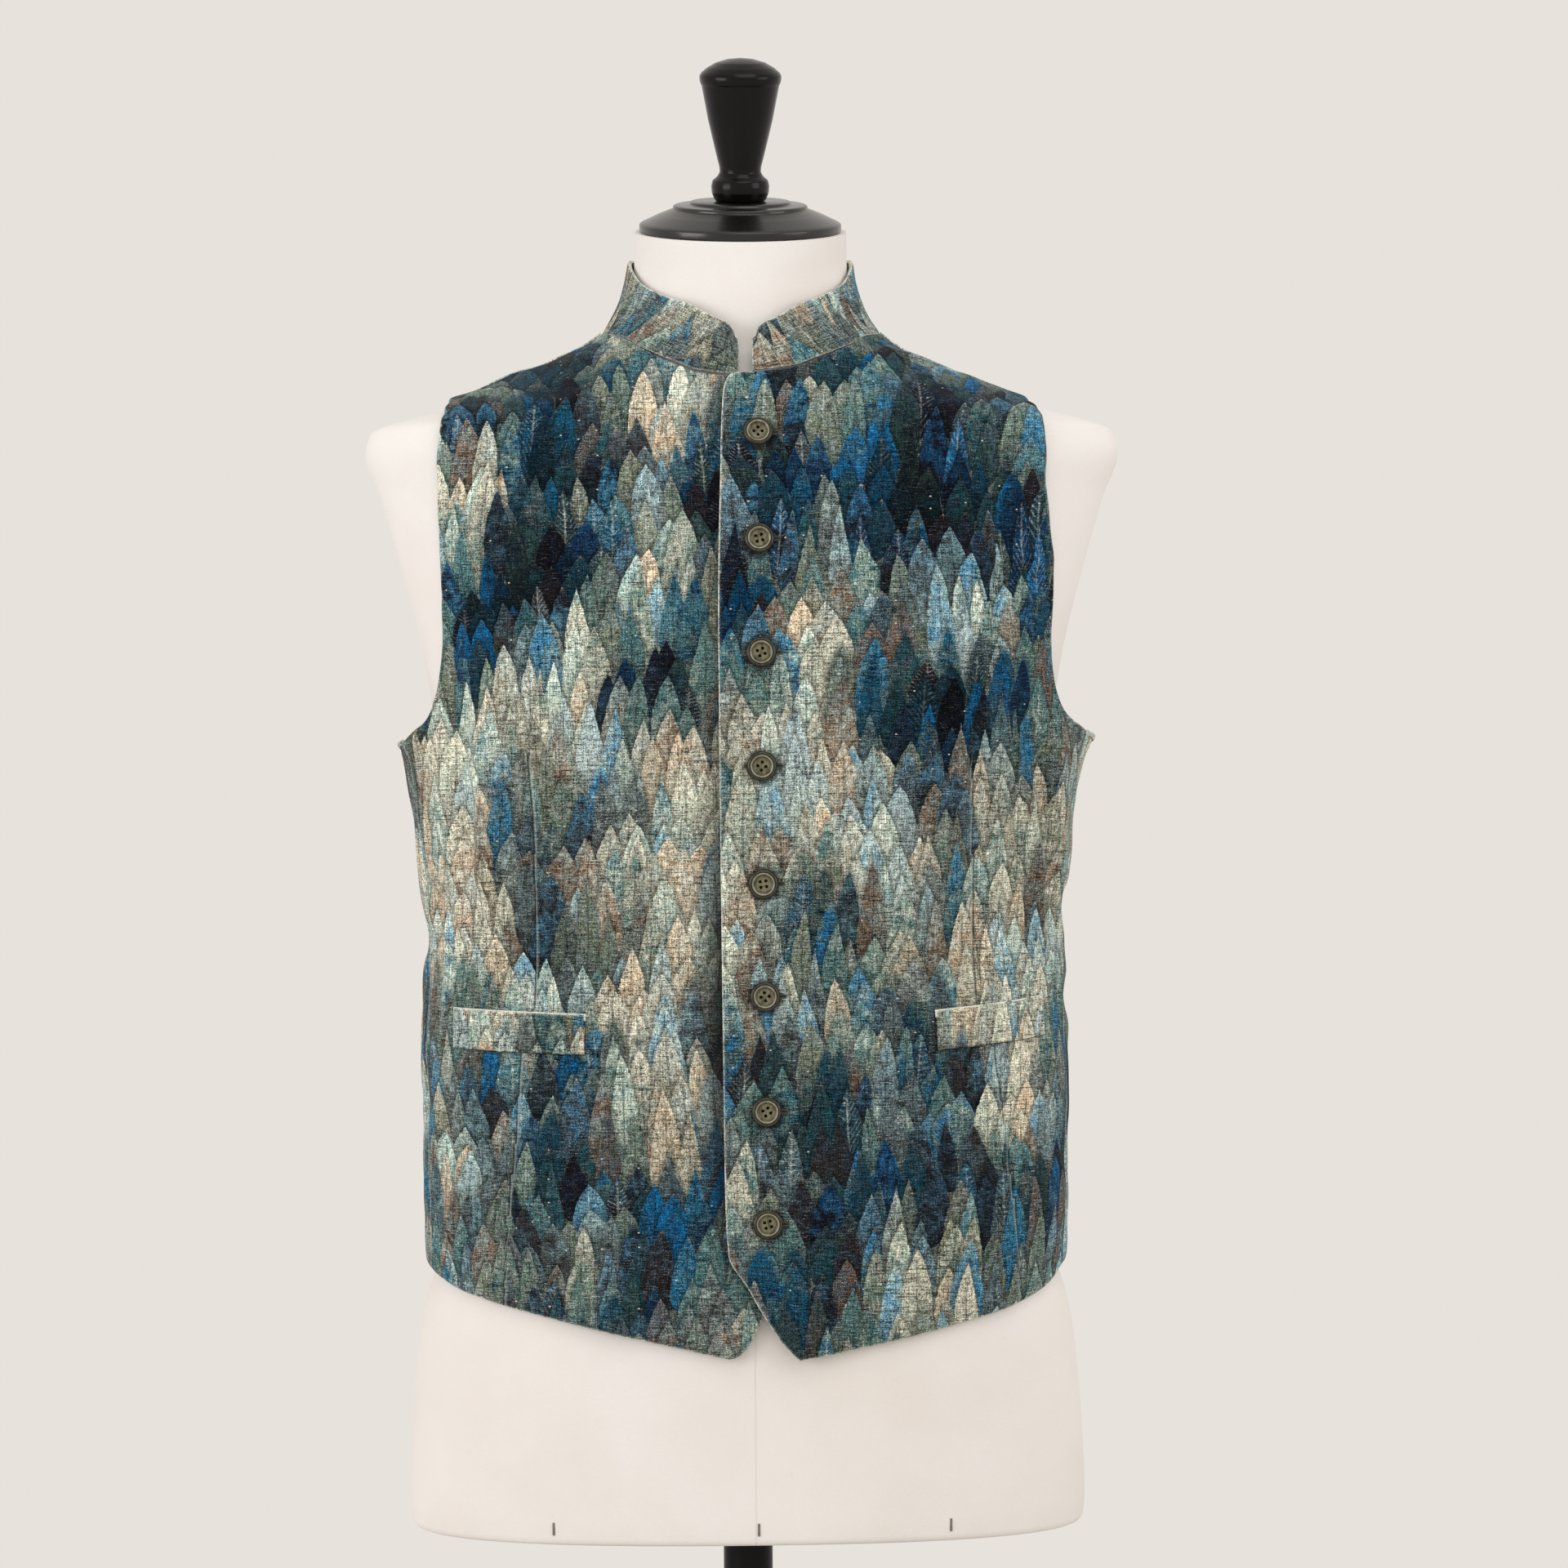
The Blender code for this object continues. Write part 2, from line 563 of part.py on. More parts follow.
# ---------------------------------------------------------------- jacket
def build_front(name, side, table, group):
    """One front: buttoning edge and neck on its inner side, side seam and armhole on its outer."""
    edge, seam, armhole = front_edge(table), side_seam(side, SIDE_SEAM), front_armhole(side)
    neck = neck_seam(float(edge[0][-1]), 90.0)
    bands = (
        (share_of(edge, 0.00, 0.12), share_of(seam, 0.00, 0.12), 4),
        (share_of(edge, 0.12, 0.68), share_of(seam, 0.12, 1.00), 8),
        (share_of(edge, 0.68, 1.00), share_of(armhole, 0.00, 0.52), 8),
        (neck, share_of(armhole, 0.52, 1.00), 11),
    )
    degrees, height = patch(bands, FRONT_COLUMNS)
    share = np.clip(degrees / SIDE_SEAM, 0.0, 1.0)
    low = 1 - ease_between(HEM_SIDE, HEM_SIDE + HEM_BOW_REACH, height)
    height = height + (hem_corner(degrees) + HEM_BOW[side > 0] * 4 * share * (1 - share)) * low
    points = coat_points(degrees, height, side, lapped=side > 0)
    front = finish(grid_of(points), name, "printed_velvet", group)
    thicken(front, CLOTH)


def back_half(side):
    """Points of the back from its centre to one side's edge, parted from the fronts' shoulders."""
    height = np.linspace(HEM_BACK, BACK_NECK, CURVE_SAMPLES)
    centre = np.full(CURVE_SAMPLES, 180.0), height
    seam, armhole = side_seam(side, SIDE_SEAM + SIDE_SEAM_GAP), back_armhole(side)
    bands = (
        (share_of(centre, 0.00, 0.50), share_of(seam, 0.00, 1.00), 8),
        (share_of(centre, 0.50, 0.57), share_of(armhole, 0.00, 0.18), 2),
        (share_of(centre, 0.57, 1.00), share_of(armhole, 0.18, 0.74), 7),
        (neck_seam(180.0, 90.0), share_of(armhole, 0.74, 1.00), 9),
    )
    degrees, height = patch(bands, BACK_COLUMNS)
    low = 1 - ease_between(HEM_BACK, HEM_BACK + HEM_BOW_REACH, height)
    points = coat_points(degrees, height + hem_corner(degrees) * low, side)
    points[-1, :, 1] += 2 * CONTACT_GAP
    return points


def build_back(group):
    """The back, cut in one: its two halves joined at the centre back."""
    bm = grid_of(back_half(1))
    other = grid_of(back_half(-1))
    mesh = bpy.data.meshes.new("back_half")
    other.to_mesh(mesh)
    other.free()
    bm.from_mesh(mesh)
    bpy.data.meshes.remove(mesh)
    bmesh.ops.remove_doubles(bm, verts=bm.verts, dist=1e-5)
    back = finish(bm, "back", "printed_velvet", group)
    thicken(back, CLOTH)


def collar_rings(degrees):
    """The collar's lower and upper edge at these angles round the neck."""
    side = np.where(degrees > 180.0, -1.0, 1.0)
    folded = np.where(degrees > 180.0, 360.0 - degrees, degrees)
    height = read(NECK_SEAM, folded)
    lower, normal = coat_face(folded, height), coat_normal(folded, height)
    lap = np.where(side > 0, lap_height(lower[:, 0]), 0.0)
    lower = lower + normal * lap[:, None]
    lower[:, 2] += 4 * CONTACT_GAP
    half_width, front, back = COLLAR_TOP_RING
    upper = ring_point(folded, read(COLLAR_TOP, folded), (half_width, front, back, 2.0))
    end = int(np.argmin(folded))
    upper[:, 0] = np.where(folded < COLLAR_FLAT_END, np.maximum(upper[:, 0], lower[end, 0]), upper[:, 0])
    lower[:, 0] *= side
    upper[:, 0] *= side
    return lower, upper


def build_collar(group):
    """The stand collar: one band from front edge to front edge, its upper corners rounded."""
    share = np.linspace(-1.0, 1.0, COLLAR_COLUMNS + 1)
    share = share + COLLAR_BUNCHING * np.sin(math.pi * share)
    bunched = 180.0 * share * (1 - COLLAR_END / 180.0)
    lower, upper = collar_rings(180.0 + bunched)
    run = np.concatenate([[0.0], np.cumsum(np.linalg.norm(np.diff(upper, axis=0), axis=1))])
    from_end = np.minimum(run, run[-1] - run)
    inside = np.clip(1 - from_end / COLLAR_CORNER, 0.0, 1.0)
    drop = COLLAR_CORNER * (1 - np.sqrt(1 - inside**2))
    tall = np.linalg.norm(upper - lower, axis=1)
    upper = lower + (upper - lower) * (1 - drop / tall)[:, None]
    rows = np.linspace(0.0, 1.0, COLLAR_ROWS + 1)
    points = np.stack([lower * (1 - row) + upper * row for row in rows])
    points[..., 0] *= 1 - COLLAR_NARROWING * (4 * rows * (1 - rows))[:, None]
    collar = finish(grid_of(points), "collar", "printed_velvet", group)
    thicken(collar, COLLAR_CLOTH)


def build_welt(name, side, inner, outer, inner_top, outer_top, group):
    """A pocket's welt: a strip made from the front's own points, moved out on to it."""
    across = np.linspace(0.0, 1.0, 11)[None, :]
    up = np.linspace(-WELT_HEIGHT, 0.0, 4)[:, None]
    degrees = inner + (outer - inner) * across + 0.0 * up
    height = inner_top + (outer_top - inner_top) * across + up
    out = WELT_CLOTH + WELT_SEAT
    welt = finish(
        grid_of(coat_points(degrees, height, side, out=out)), name, "printed_velvet", group
    )
    thicken(welt, WELT_CLOTH)


def build_button(number, height, x, group, cutters):
    """A four-hole button, dished inside its rim, lying on the left front."""
    degrees = float(degrees_at(x, height))
    seat = coat_points([degrees], [height], 1, lapped=True, out=BUTTON_SEAT)[0]
    facing = Vector(coat_normal(np.array([degrees]), np.array([height]))[0])
    name = f"button_{number}"
    button = turned(BUTTON_PROFILE, BUTTON_SEGMENTS, name, "horn_button", group, (0, 0, 0))
    place = Matrix.Translation(Vector(seat) + Vector((0, 0, TORSO_LIFT)))
    place = place @ facing.to_track_quat("Z", "Y").to_matrix().to_4x4()
    button.matrix_world = place
    holes = bmesh.new()
    for quarter in range(4):
        turn = math.radians(45 + 90 * quarter)
        centre = Vector((math.cos(turn), math.sin(turn), 0.0)) * BUTTON_HOLE_PITCH
        bmesh.ops.create_cone(
            holes, cap_ends=True, segments=6, radius1=BUTTON_HOLE_RADIUS, radius2=BUTTON_HOLE_RADIUS,
            depth=4 * BUTTON_THICKNESS, matrix=Matrix.Translation(centre),
        )
    cutter = finish(holes, f"{name}_holes", "horn_button", cutters)
    cutter.matrix_world = place
    cutter.hide_render = True
    cutter.display_type = "WIRE"
    drill = button.modifiers.new("thread_holes", "BOOLEAN")
    drill.operation = "DIFFERENCE"
    drill.object = cutter


def build_jacket(group, cutters):
    build_front("front_left", 1, LEFT_EDGE, group)
    build_front("front_right", -1, RIGHT_EDGE, group)
    build_back(group)
    build_collar(group)
    for row in WELTS:
        build_welt(*row, group)
    for number, (height, x) in enumerate(BUTTONS, start=1):
        build_button(number, height, x, group, cutters)


def main():
    clear_scene()
    group = collection("stand_collar_jacket_on_form")
    cutters = collection("cutters")
    cutters.hide_render = True
    build_form(group)
    build_jacket(group, cutters)


main()
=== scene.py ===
"""The looks of a printed velvet stand-collar jacket buttoned over a tailor's dress form.

Units are metres. +Z is up, the jacket faces -Y and the wearer's left side is +X. Heights in the
tables count from the bottom edge of the torso, and angles run round the torso in degrees: 0 at the
centre front, 90 at the +X side, 180 at the back. Lengths inside the materials are millimetres.
"""

import math

import bmesh
import bpy
import numpy as np
from mathutils import Matrix, Quaternion, Vector
from mathutils.kdtree import KDTree


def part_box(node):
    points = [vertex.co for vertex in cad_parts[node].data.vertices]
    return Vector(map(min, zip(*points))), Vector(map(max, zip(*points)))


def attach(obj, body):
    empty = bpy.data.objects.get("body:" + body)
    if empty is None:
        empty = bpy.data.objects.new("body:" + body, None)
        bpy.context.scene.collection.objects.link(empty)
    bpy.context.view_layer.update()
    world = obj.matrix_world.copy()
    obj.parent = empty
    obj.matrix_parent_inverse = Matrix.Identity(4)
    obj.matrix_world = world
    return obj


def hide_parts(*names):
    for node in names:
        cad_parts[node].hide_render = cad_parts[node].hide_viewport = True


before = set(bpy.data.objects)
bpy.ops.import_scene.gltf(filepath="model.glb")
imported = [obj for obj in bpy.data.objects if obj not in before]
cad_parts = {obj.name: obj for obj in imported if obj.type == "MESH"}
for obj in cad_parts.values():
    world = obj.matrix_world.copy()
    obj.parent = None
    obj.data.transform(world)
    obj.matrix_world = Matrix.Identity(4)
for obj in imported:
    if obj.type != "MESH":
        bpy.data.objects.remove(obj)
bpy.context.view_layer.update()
TORSO_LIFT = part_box("form_torso")[0].z      # the torso's bottom edge above the floor

# ---------------------------------------------------------------- sizes of the jacket and the form
TORSO_TOP = 0.783           # the neck's cut top above the torso's bottom edge
NECK_TILT = math.radians(12.0)
CONTACT_GAP = 0.0003        # between pieces that rest on one another
SAME_POINT = 0.00001        # points closer than this are merged where halves meet
SAME_CORNER = 0.000001      # and where a spun or lofted shape closes

CLOTH = 0.0022              # jacket wall: face cloth, canvas and backing
COLLAR_CLOTH = 0.0024
COAT_RISE = 0.0040          # the jacket's outside above the form on the shoulders
COAT_EASE = 0.0052          # and out from it on the upright faces
LAP_RISE = 0.0034           # the buttoning edge lies this far over the one below
LAP_FULL, LAP_END = 0.042, 0.075    # from the centre: the lap is full up to here, gone from there

SIDE_SEAM = 77.0            # degrees from the centre front
SIDE_SEAM_GAP = 0.16        # degrees between the front and the back there
HEM_SIDE, HEM_BACK = 0.151, 0.150
HEM_BOW = (0.0010, -0.0040)         # the right and left front hem's curve above a straight run
HEM_BOW_REACH = 0.080
HEM_CORNER, HEM_CORNER_SPREAD = 0.0050, 17.0    # its rise where it turns round the side, degrees
HEM_TUCK, HEM_TUCK_REACH = 0.0018, 0.008        # it draws in towards the form
FRONT_TUCK = (0.55, 1.0)            # from this share of the way to the side seam, and fully at that
UNDERARM = (0.4720, 0.4755)         # on the wearer's right side and left side
NECK_CORNER = 0.6880        # top of the front edges
SHOULDER_POINT = (0.6812, 0.6830)   # height of the shoulder seam's outer end, right and left
BACK_NECK = 0.7215
SHOULDER_GAP = 2 * CONTACT_GAP      # between the fronts and the back on top of the shoulders

COLLAR_END = 0.95           # degrees from the centre front to the collar's ends
COLLAR_CORNER = 0.012       # radius of its rounded front corners
COLLAR_HOLLOW = 0.0010      # how far the collar's face curves in at half its height, and at
COLLAR_SIDE_HOLLOW = 0.0020 # the sides of the neck this much more
COLLAR_BUNCHING = 0.14      # how much closer its columns stand at the front than at the back
COLLAR_FLAT_END = 12.0      # degrees within which its top goes straight up from the neck seam
COLLAR_WAVES = 0.6          # the share of the cloth's small waves that a stiffened collar keeps
COLLAR_GAP = 4 * CONTACT_GAP        # between its lower edge and the neck seam
COLLAR_SEATING = 0.0015     # how far its seam sits down over the sides of the neck
COLLAR_GRAIN = 0.70         # height on the print from which the collar was cut

WELT_HEIGHT = 0.0245
WELT_CLOTH = 0.0020
WELT_SEAT = 0.0009          # between a welt and the front under it

BUTTON_RADIUS = 0.0088
BUTTON_SEAT = 0.0005
BUTTON_HOLE_RADIUS = 0.00085
BUTTON_HOLE_PITCH = 0.00235 # from the button's centre to each hole's
BUTTON_DRILL = 0.02         # length of the drill that cuts them
BUTTON_DIMPLE, BUTTON_DIMPLE_REACH = 0.0006, 0.010  # how deep a button sits in the cloth
GAPE, GAPE_REACH = 0.0018, 0.0075       # the buttoning edge stands off between the buttons

EDGE_ROLL, EDGE_ROLL_REACH = 0.0007, 0.0012     # every cut edge is turned and pressed
EDGE_BEVEL = 0.0007
SHARP_EDGE, SHARP_TURNED_EDGE = math.radians(50.0), math.radians(42.0)
TURNED_SHARES = (0.16, 0.42)            # of a step: the extra rows of points in a turned edge

# Pale pile along the edges, worn and partly a painted highlight, and how far in; on the welts their
# tops alone
EDGE_WEAR_AND_LIGHT, EDGE_WEAR_AND_LIGHT_REACH = 0.38, 0.00055
EDGE_WEAR_AND_LIGHT_LEFT_FRONT, EDGE_WEAR_AND_LIGHT_COLLAR, EDGE_WEAR_AND_LIGHT_WELT = 0.85, 0.70, 1.7
WEAR_AND_LIGHT_LEFT_LOW, WEAR_AND_LIGHT_LEFT_CLIMB = 0.45, (0.40, 0.56)     # the left edge is less pale low down
WEAR_AND_LIGHT_INNER = (0.01, 0.05)               # the shares across a front between which that paleness ends
WEAR_AND_LIGHT_UNDER_COLLAR, WEAR_AND_LIGHT_COLLAR_REACH = 0.8, 0.003   # the collar hides most at the fronts' corners
WEAR_AND_LIGHT_COLLAR_FOOT = 0.4                  # the share of the collar's own pale edge that its seam has
WELT_TOP, WELT_SHADE = 0.18, -1.1       # the pale share of a welt's height, the painted shade of the rest
WELT_BREAKS = ((), (0.36, 0.58, 0.80))  # places along the right and left welt where its pale top breaks into a little painted shade
WELT_BREAK_WIDTH, WELT_BREAK_DEPTH = 0.030, 1.2

# How dark the painted shadow lies on the cloth: round the buttons, a little more below each, and
# where the left front laps, darkest and widest at one height
BUTTON_SHADE, BUTTON_SHADE_REACH = 0.80, 0.0016
BUTTON_SHADE_SHIFT = (0.0004, -0.0006)
LAP_SHADOW_MIDDLE, LAP_SHADOW_REACH, LAP_SHADOW_WIDTH = 0.315, 0.130, 0.0135
LAP_SHADOW_LEAST, LAP_SHADOW_NARROWEST = 0.35, 0.45

# Paler parts of the print, from which some pieces were cut
BACK_PALER, COLLAR_PALER, WELT_PALER = 0.12, 0.14, 0.30

# The print is dyed in soft bands: how pale it is by height, and how far neighbours differ there
PALENESS_BY_HEIGHT = (
    (0.10, 0.50), (0.16, 0.46), (0.22, 0.47), (0.30, 0.60), (0.38, 0.74), (0.46, 0.72),
    (0.52, 0.42), (0.58, 0.24), (0.65, 0.30), (0.70, 0.48), (0.78, 0.66),
)
SPAN_BY_HEIGHT = (
    (0.10, 1.0), (0.18, 1.2), (0.26, 1.8), (0.45, 1.9), (0.56, 2.4), (0.66, 2.3), (0.74, 1.6),
)

# Torso: height, half width, depth to the front, depth to the back, squareness of the ring
TORSO = (
    (-0.0040, 0.2005, 0.1118, 0.1148, 2.50),
    (-0.0030, 0.2028, 0.1138, 0.1172, 2.50),
    (0.0000, 0.2045, 0.1148, 0.1186, 2.50),
    (0.0120, 0.2058, 0.1152, 0.1192, 2.50),
    (0.0750, 0.2030, 0.1150, 0.1215, 2.50),
    (0.1100, 0.1995, 0.1145, 0.1212, 2.50),
    (0.1350, 0.1950, 0.1130, 0.1200, 2.48),
    (0.1510, 0.1900, 0.1118, 0.1185, 2.45),
    (0.2300, 0.1840, 0.1060, 0.1080, 2.40),
    (0.3200, 0.1760, 0.1010, 0.0940, 2.35),
    (0.4000, 0.1790, 0.1070, 0.0960, 2.35),
    (0.4700, 0.1870, 0.1145, 0.1060, 2.40),
    (0.5200, 0.1940, 0.1165, 0.1100, 2.60),
    (0.5700, 0.2060, 0.1140, 0.1120, 2.80),
    (0.6200, 0.2205, 0.1060, 0.1110, 2.95),
    (0.6460, 0.2295, 0.0985, 0.1070, 3.00),
    (0.6590, 0.2260, 0.0940, 0.1045, 2.95),
    (0.6665, 0.2060, 0.0915, 0.1030, 2.75),
    (0.6735, 0.1800, 0.0875, 0.0998, 2.45),
    (0.6830, 0.1495, 0.0810, 0.0935, 2.25),
    (0.6920, 0.1275, 0.0745, 0.0868, 2.15),
    (0.7020, 0.1050, 0.0690, 0.0800, 2.10),
    (0.7090, 0.0895, 0.0655, 0.0745, 2.05),
    (0.7200, 0.0770, 0.0630, 0.0700, 2.00),
    (0.7340, 0.0705, 0.0620, 0.0668, 2.00),
    (0.7500, 0.0664, 0.0615, 0.0645, 2.00),
    (0.7650, 0.0650, 0.0612, 0.0638, 2.00),
    (TORSO_TOP, 0.0648, 0.0610, 0.0635, 2.00),
)
TORSO_RINGS = ((0.012, 18), (0.620, 96), (0.736, 84), (TORSO_TOP, 16))  # how many up to each height
TORSO_COLUMNS = 160
TILT_BEGINS = 0.730         # above this height the rings lean over to the cut top

# Jacket below the chest, its outer face: the same columns. Above, it follows the torso.
COAT = (
    (0.100, 0.1955, 0.1200, 0.1265, 2.50),
    (0.150, 0.1957, 0.1200, 0.1262, 2.50),
    (0.210, 0.1964, 0.1200, 0.1230, 2.48),
    (0.280, 0.1982, 0.1200, 0.1160, 2.45),
    (0.345, 0.1953, 0.1205, 0.1115, 2.45),
    (0.410, 0.2000, 0.1225, 0.1115, 2.40),
    (0.4735, 0.2085, 0.1245, 0.1155, 2.40),
    (0.520, 0.2025, 0.1255, 0.1180, 2.55),
)
COAT_LEAVES_TORSO = (0.500, 0.570)

# Neck seam: degrees from the centre front, height
NECK_SEAM = (
    (-25.0, 0.6870), (0.0, 0.6880), (9.4, 0.6912), (16.6, 0.6965), (32.5, 0.7060),
    (58.0, 0.7165), (90.0, 0.7205), (122.0, 0.7225), (150.0, 0.7220), (180.0, BACK_NECK),
)

# Buttoning edge of the left front, on top, and of the right front, below: height, and how far the
# cloth reaches from the centre front towards the front's own side seam
LEFT_EDGE = (
    (0.1065, 0.0270), (0.1090, 0.0235), (0.1320, 0.0060), (0.1485, -0.0034), (0.1680, -0.0148),
    (0.2000, -0.0165), (0.2800, -0.0172), (0.5400, -0.0187), (0.6400, -0.0162),
    (0.6760, -0.0142), (0.6840, -0.0118), (NECK_CORNER, -0.0085),
)
RIGHT_EDGE = (
    (0.1065, 0.0150), (0.1078, 0.0096), (0.1110, 0.0054), (0.1320, -0.0062), (0.1500, -0.0200),
    (0.1660, -0.0300), (0.1850, -0.0330), (0.6400, -0.0330), (0.6760, -0.0320),
    (NECK_CORNER, -0.0290),
)

# Armholes above the side seam: the back one scoops down first (degrees, height), then both run
# up as height and distance from the middle, on the wearer's right side and left side
BACK_SCOOP = ((84.0, -0.0022), (90.0, -0.0040), (98.0, -0.0048), (107.0, -0.0025), (116.0, 0.0050))
FRONT_ARMHOLE = (
    (0.4843, 0.1926, 0.1951), (0.4942, 0.1877, 0.1892), (0.5040, 0.1848, 0.1863),
    (0.5140, 0.1833, 0.1845), (0.5335, 0.1822, 0.1833), (0.5728, 0.1823, 0.1847),
    (0.6020, 0.1837, 0.1808), (0.6320, 0.1843, 0.1786), (0.6515, 0.1835, 0.1785),
    (0.6630, 0.1822, 0.1772), (0.6710, 0.1800, 0.1748), (0.6760, 0.1780, 0.1722),
)
BACK_ARMHOLE = (
    (0.4990, 0.1840, 0.1850), (0.5150, 0.1812, 0.1820), (0.5600, 0.1812, 0.1825),
    (0.6020, 0.1817, 0.1788), (0.6320, 0.1822, 0.1767), (0.6515, 0.1813, 0.1763),
    (0.6630, 0.1800, 0.1750), (0.6710, 0.1783, 0.1730), (0.6760, 0.1770, 0.1712),
)

# Collar top: degrees from the centre front, height; its ring's half width, front and back depth
COLLAR_TOP = (
    (0.0, 0.7215), (10.0, 0.7225), (18.0, 0.7264), (28.0, 0.7328), (44.0, 0.7393),
    (61.0, 0.7474), (78.0, 0.7584), (90.0, 0.7646), (104.0, 0.7674), (122.0, 0.7680),
    (150.0, 0.7660), (180.0, 0.7640),
)
COLLAR_TOP_RING = (0.0692, 0.0730, 0.0690)

# Folds and creases of the cloth: side, half width, rise, then the line that each follows as
# (degrees, height). They run out by FOLD_FADE at the line's ends.
FOLD_FADE = 0.6
FOLDS = (
    (-1, 0.0100, 0.0036, ((57.5, 0.486), (59.0, 0.446), (65.0, 0.395))),
    (-1, 0.0085, -0.0042, ((51.5, 0.485), (52.8, 0.446), (54.3, 0.402), (57.2, 0.372))),
    (-1, 0.0090, 0.0030, ((44.5, 0.486), (46.0, 0.436), (49.0, 0.380))),
    (-1, 0.0035, 0.0016, ((47.5, 0.470), (49.5, 0.430), (51.0, 0.385))),
    (-1, 0.0060, -0.0020, ((40.0, 0.470), (41.5, 0.430), (44.0, 0.380))),
    (-1, 0.0060, 0.0018, ((61.5, 0.400), (58.0, 0.365), (52.0, 0.345))),
    (1, 0.0080, -0.0048,
     ((45.7, 0.493), (50.4, 0.473), (58.3, 0.434), (65.3, 0.385), (67.0, 0.350))),
    (1, 0.0040, 0.0024,
     ((43.5, 0.482), (47.5, 0.462), (55.0, 0.424), (62.0, 0.375), (64.0, 0.340))),
    (1, 0.0120, 0.0042, ((58.0, 0.487), (62.0, 0.450), (67.5, 0.405), (70.5, 0.380))),
    (1, 0.0050, -0.0022, ((49.5, 0.483), (49.9, 0.434), (50.3, 0.386))),
    (1, 0.0095, 0.0045,
     ((70.0, 0.480), (78.0, 0.477), (86.0, 0.473), (91.0, 0.472), (97.0, 0.471))),
    (-1, 0.0085, 0.0034, ((66.0, 0.476), (72.0, 0.473), (77.0, 0.470), (83.0, 0.468))),
    (-1, 0.0070, -0.0014, ((89.0, 0.468), (97.0, 0.466))),
    (-1, 0.0160, 0.0028, ((72.0, 0.691), (90.0, 0.6935), (108.0, 0.691))),
    (-1, 0.0110, -0.0042, ((80.0, 0.353), (92.0, 0.351), (104.0, 0.350))),
    (1, 0.0110, -0.0055, ((80.0, 0.372), (92.0, 0.367), (104.0, 0.362))),
    (1, 0.0100, -0.0045, ((80.0, 0.317), (92.0, 0.3125), (104.0, 0.308))),
    (1, 0.0060, -0.0015, ((30.0, 0.567), (34.2, 0.564), (45.0, 0.565), (54.0, 0.568))),
    (1, 0.0060, 0.0022, ((30.0, 0.579), (40.0, 0.576), (52.0, 0.578))),
    (1, 0.0050, -0.0014, ((29.0, 0.551), (43.7, 0.545), (57.0, 0.5475))),
    (1, 0.0090, 0.0022, ((40.0, 0.708), (25.4, 0.683), (15.0, 0.657), (15.0, 0.630))),
    (-1, 0.0090, 0.0018, ((40.0, 0.706), (26.0, 0.680), (17.0, 0.652))),
    (-1, 0.0090, -0.0018, ((8.0, 0.560), (8.5, 0.400), (9.0, 0.240))),
    (-1, 0.0050, -0.0010, ((60.0, 0.560), (45.0, 0.548), (33.0, 0.545))),
    (1, 0.0140, 0.0040, ((128.0, 0.400), (128.0, 0.250))),
    (-1, 0.0140, 0.0040, ((130.0, 0.410), (126.0, 0.230))),
    (1, 0.0160, -0.0035, ((152.0, 0.360), (158.0, 0.210))),
    (-1, 0.0160, -0.0035, ((150.0, 0.350), (156.0, 0.220))),
    (1, 0.0130, -0.0035, ((118.0, 0.500), (140.0, 0.450))),
    (-1, 0.0130, -0.0035, ((118.0, 0.500), (140.0, 0.455))),
    (1, 0.0060, 0.0022, ((124.0, 0.478), (146.0, 0.418))),
    (-1, 0.0060, 0.0020, ((122.0, 0.474), (143.0, 0.425))),
    (1, 0.0070, -0.0018, ((168.0, 0.655), (150.0, 0.640), (138.0, 0.622))),
    (-1, 0.0070, -0.0018, ((166.0, 0.658), (150.0, 0.645), (137.0, 0.628))),
    (1, 0.0050, -0.0014, ((170.0, 0.330), (176.0, 0.322), (182.0, 0.330))),
)

# Sewn darts of the fronts: side, then (degrees, height) up the line
DARTS = (
    (-1, ((45.0, 0.118), (43.1, 0.194), (40.9, 0.233), (39.1, 0.284), (36.6, 0.312))),
    (-1, ((36.2, 0.313), (36.2, 0.369), (35.3, 0.427), (34.9, 0.462))),
    (1, ((52.3, 0.118), (51.0, 0.169), (47.5, 0.220), (44.6, 0.262), (41.0, 0.312))),
    (1, ((38.6, 0.316), (38.1, 0.383), (37.0, 0.425), (35.7, 0.452))),
)
DART_PUCKER, DART_PUCKER_REACH = 0.0009, 0.0042
DART_END, DART_FADE = 0.25, 6.0         # the share of it at a dart's ends, and how fast it grows

# Soft unevenness of the cloth: wavelength, height, and the way each wave runs. Each one's crests
# bend by WAVE_BEND over a length WAVE_BEND_LENGTH times its own.
WAVE_BEND, WAVE_BEND_LENGTH, WAVE_SHIFT = 0.6, 2.3, 1.7
WAVES = (
    (0.071, 0.00055, (0.9, 0.2, 0.35)), (0.053, 0.00045, (-0.5, 0.3, 0.8)),
    (0.031, 0.00022, (0.7, -0.6, -0.4)), (0.023, 0.00016, (0.2, 0.5, 0.9)),
    (0.017, 0.00010, (-0.9, 0.4, 0.1)),
)

# Welt pockets: side, inner and outer angle, height of the top edge at each
WELTS = (
    ("welt_right", -1, 24.9, 59.5, 0.3103, 0.3130),
    ("welt_left", 1, 28.6, 60.5, 0.3110, 0.3180),
)

# Buttons: height, distance from the centre front, and how far each is turned on its thread
BUTTONS = (
    (0.6516, 0.0060, 45.0), (0.5888, 0.0058, 14.0), (0.5218, 0.0062, 24.0), (0.4556, 0.0062, 38.0),
    (0.3864, 0.0068, 8.0), (0.3202, 0.0074, 52.0), (0.2525, 0.0080, 30.0), (0.1863, 0.0084, 15.0),
)
BUTTONHOLE_LENGTH, BUTTONHOLE_SHIFT = 0.0225, 0.0012
BUTTONHOLE_HALF_HEIGHT, BUTTONHOLE_SQUARENESS = 0.0011, 0.35
BUTTONHOLE_THREAD = 0.00055             # radius of its stitches
SLIT_RADIUS, SLIT_DEPTH = 0.00045, 0.0001
SLIT_SHARE = 0.47                       # of its length, to either side of its middle

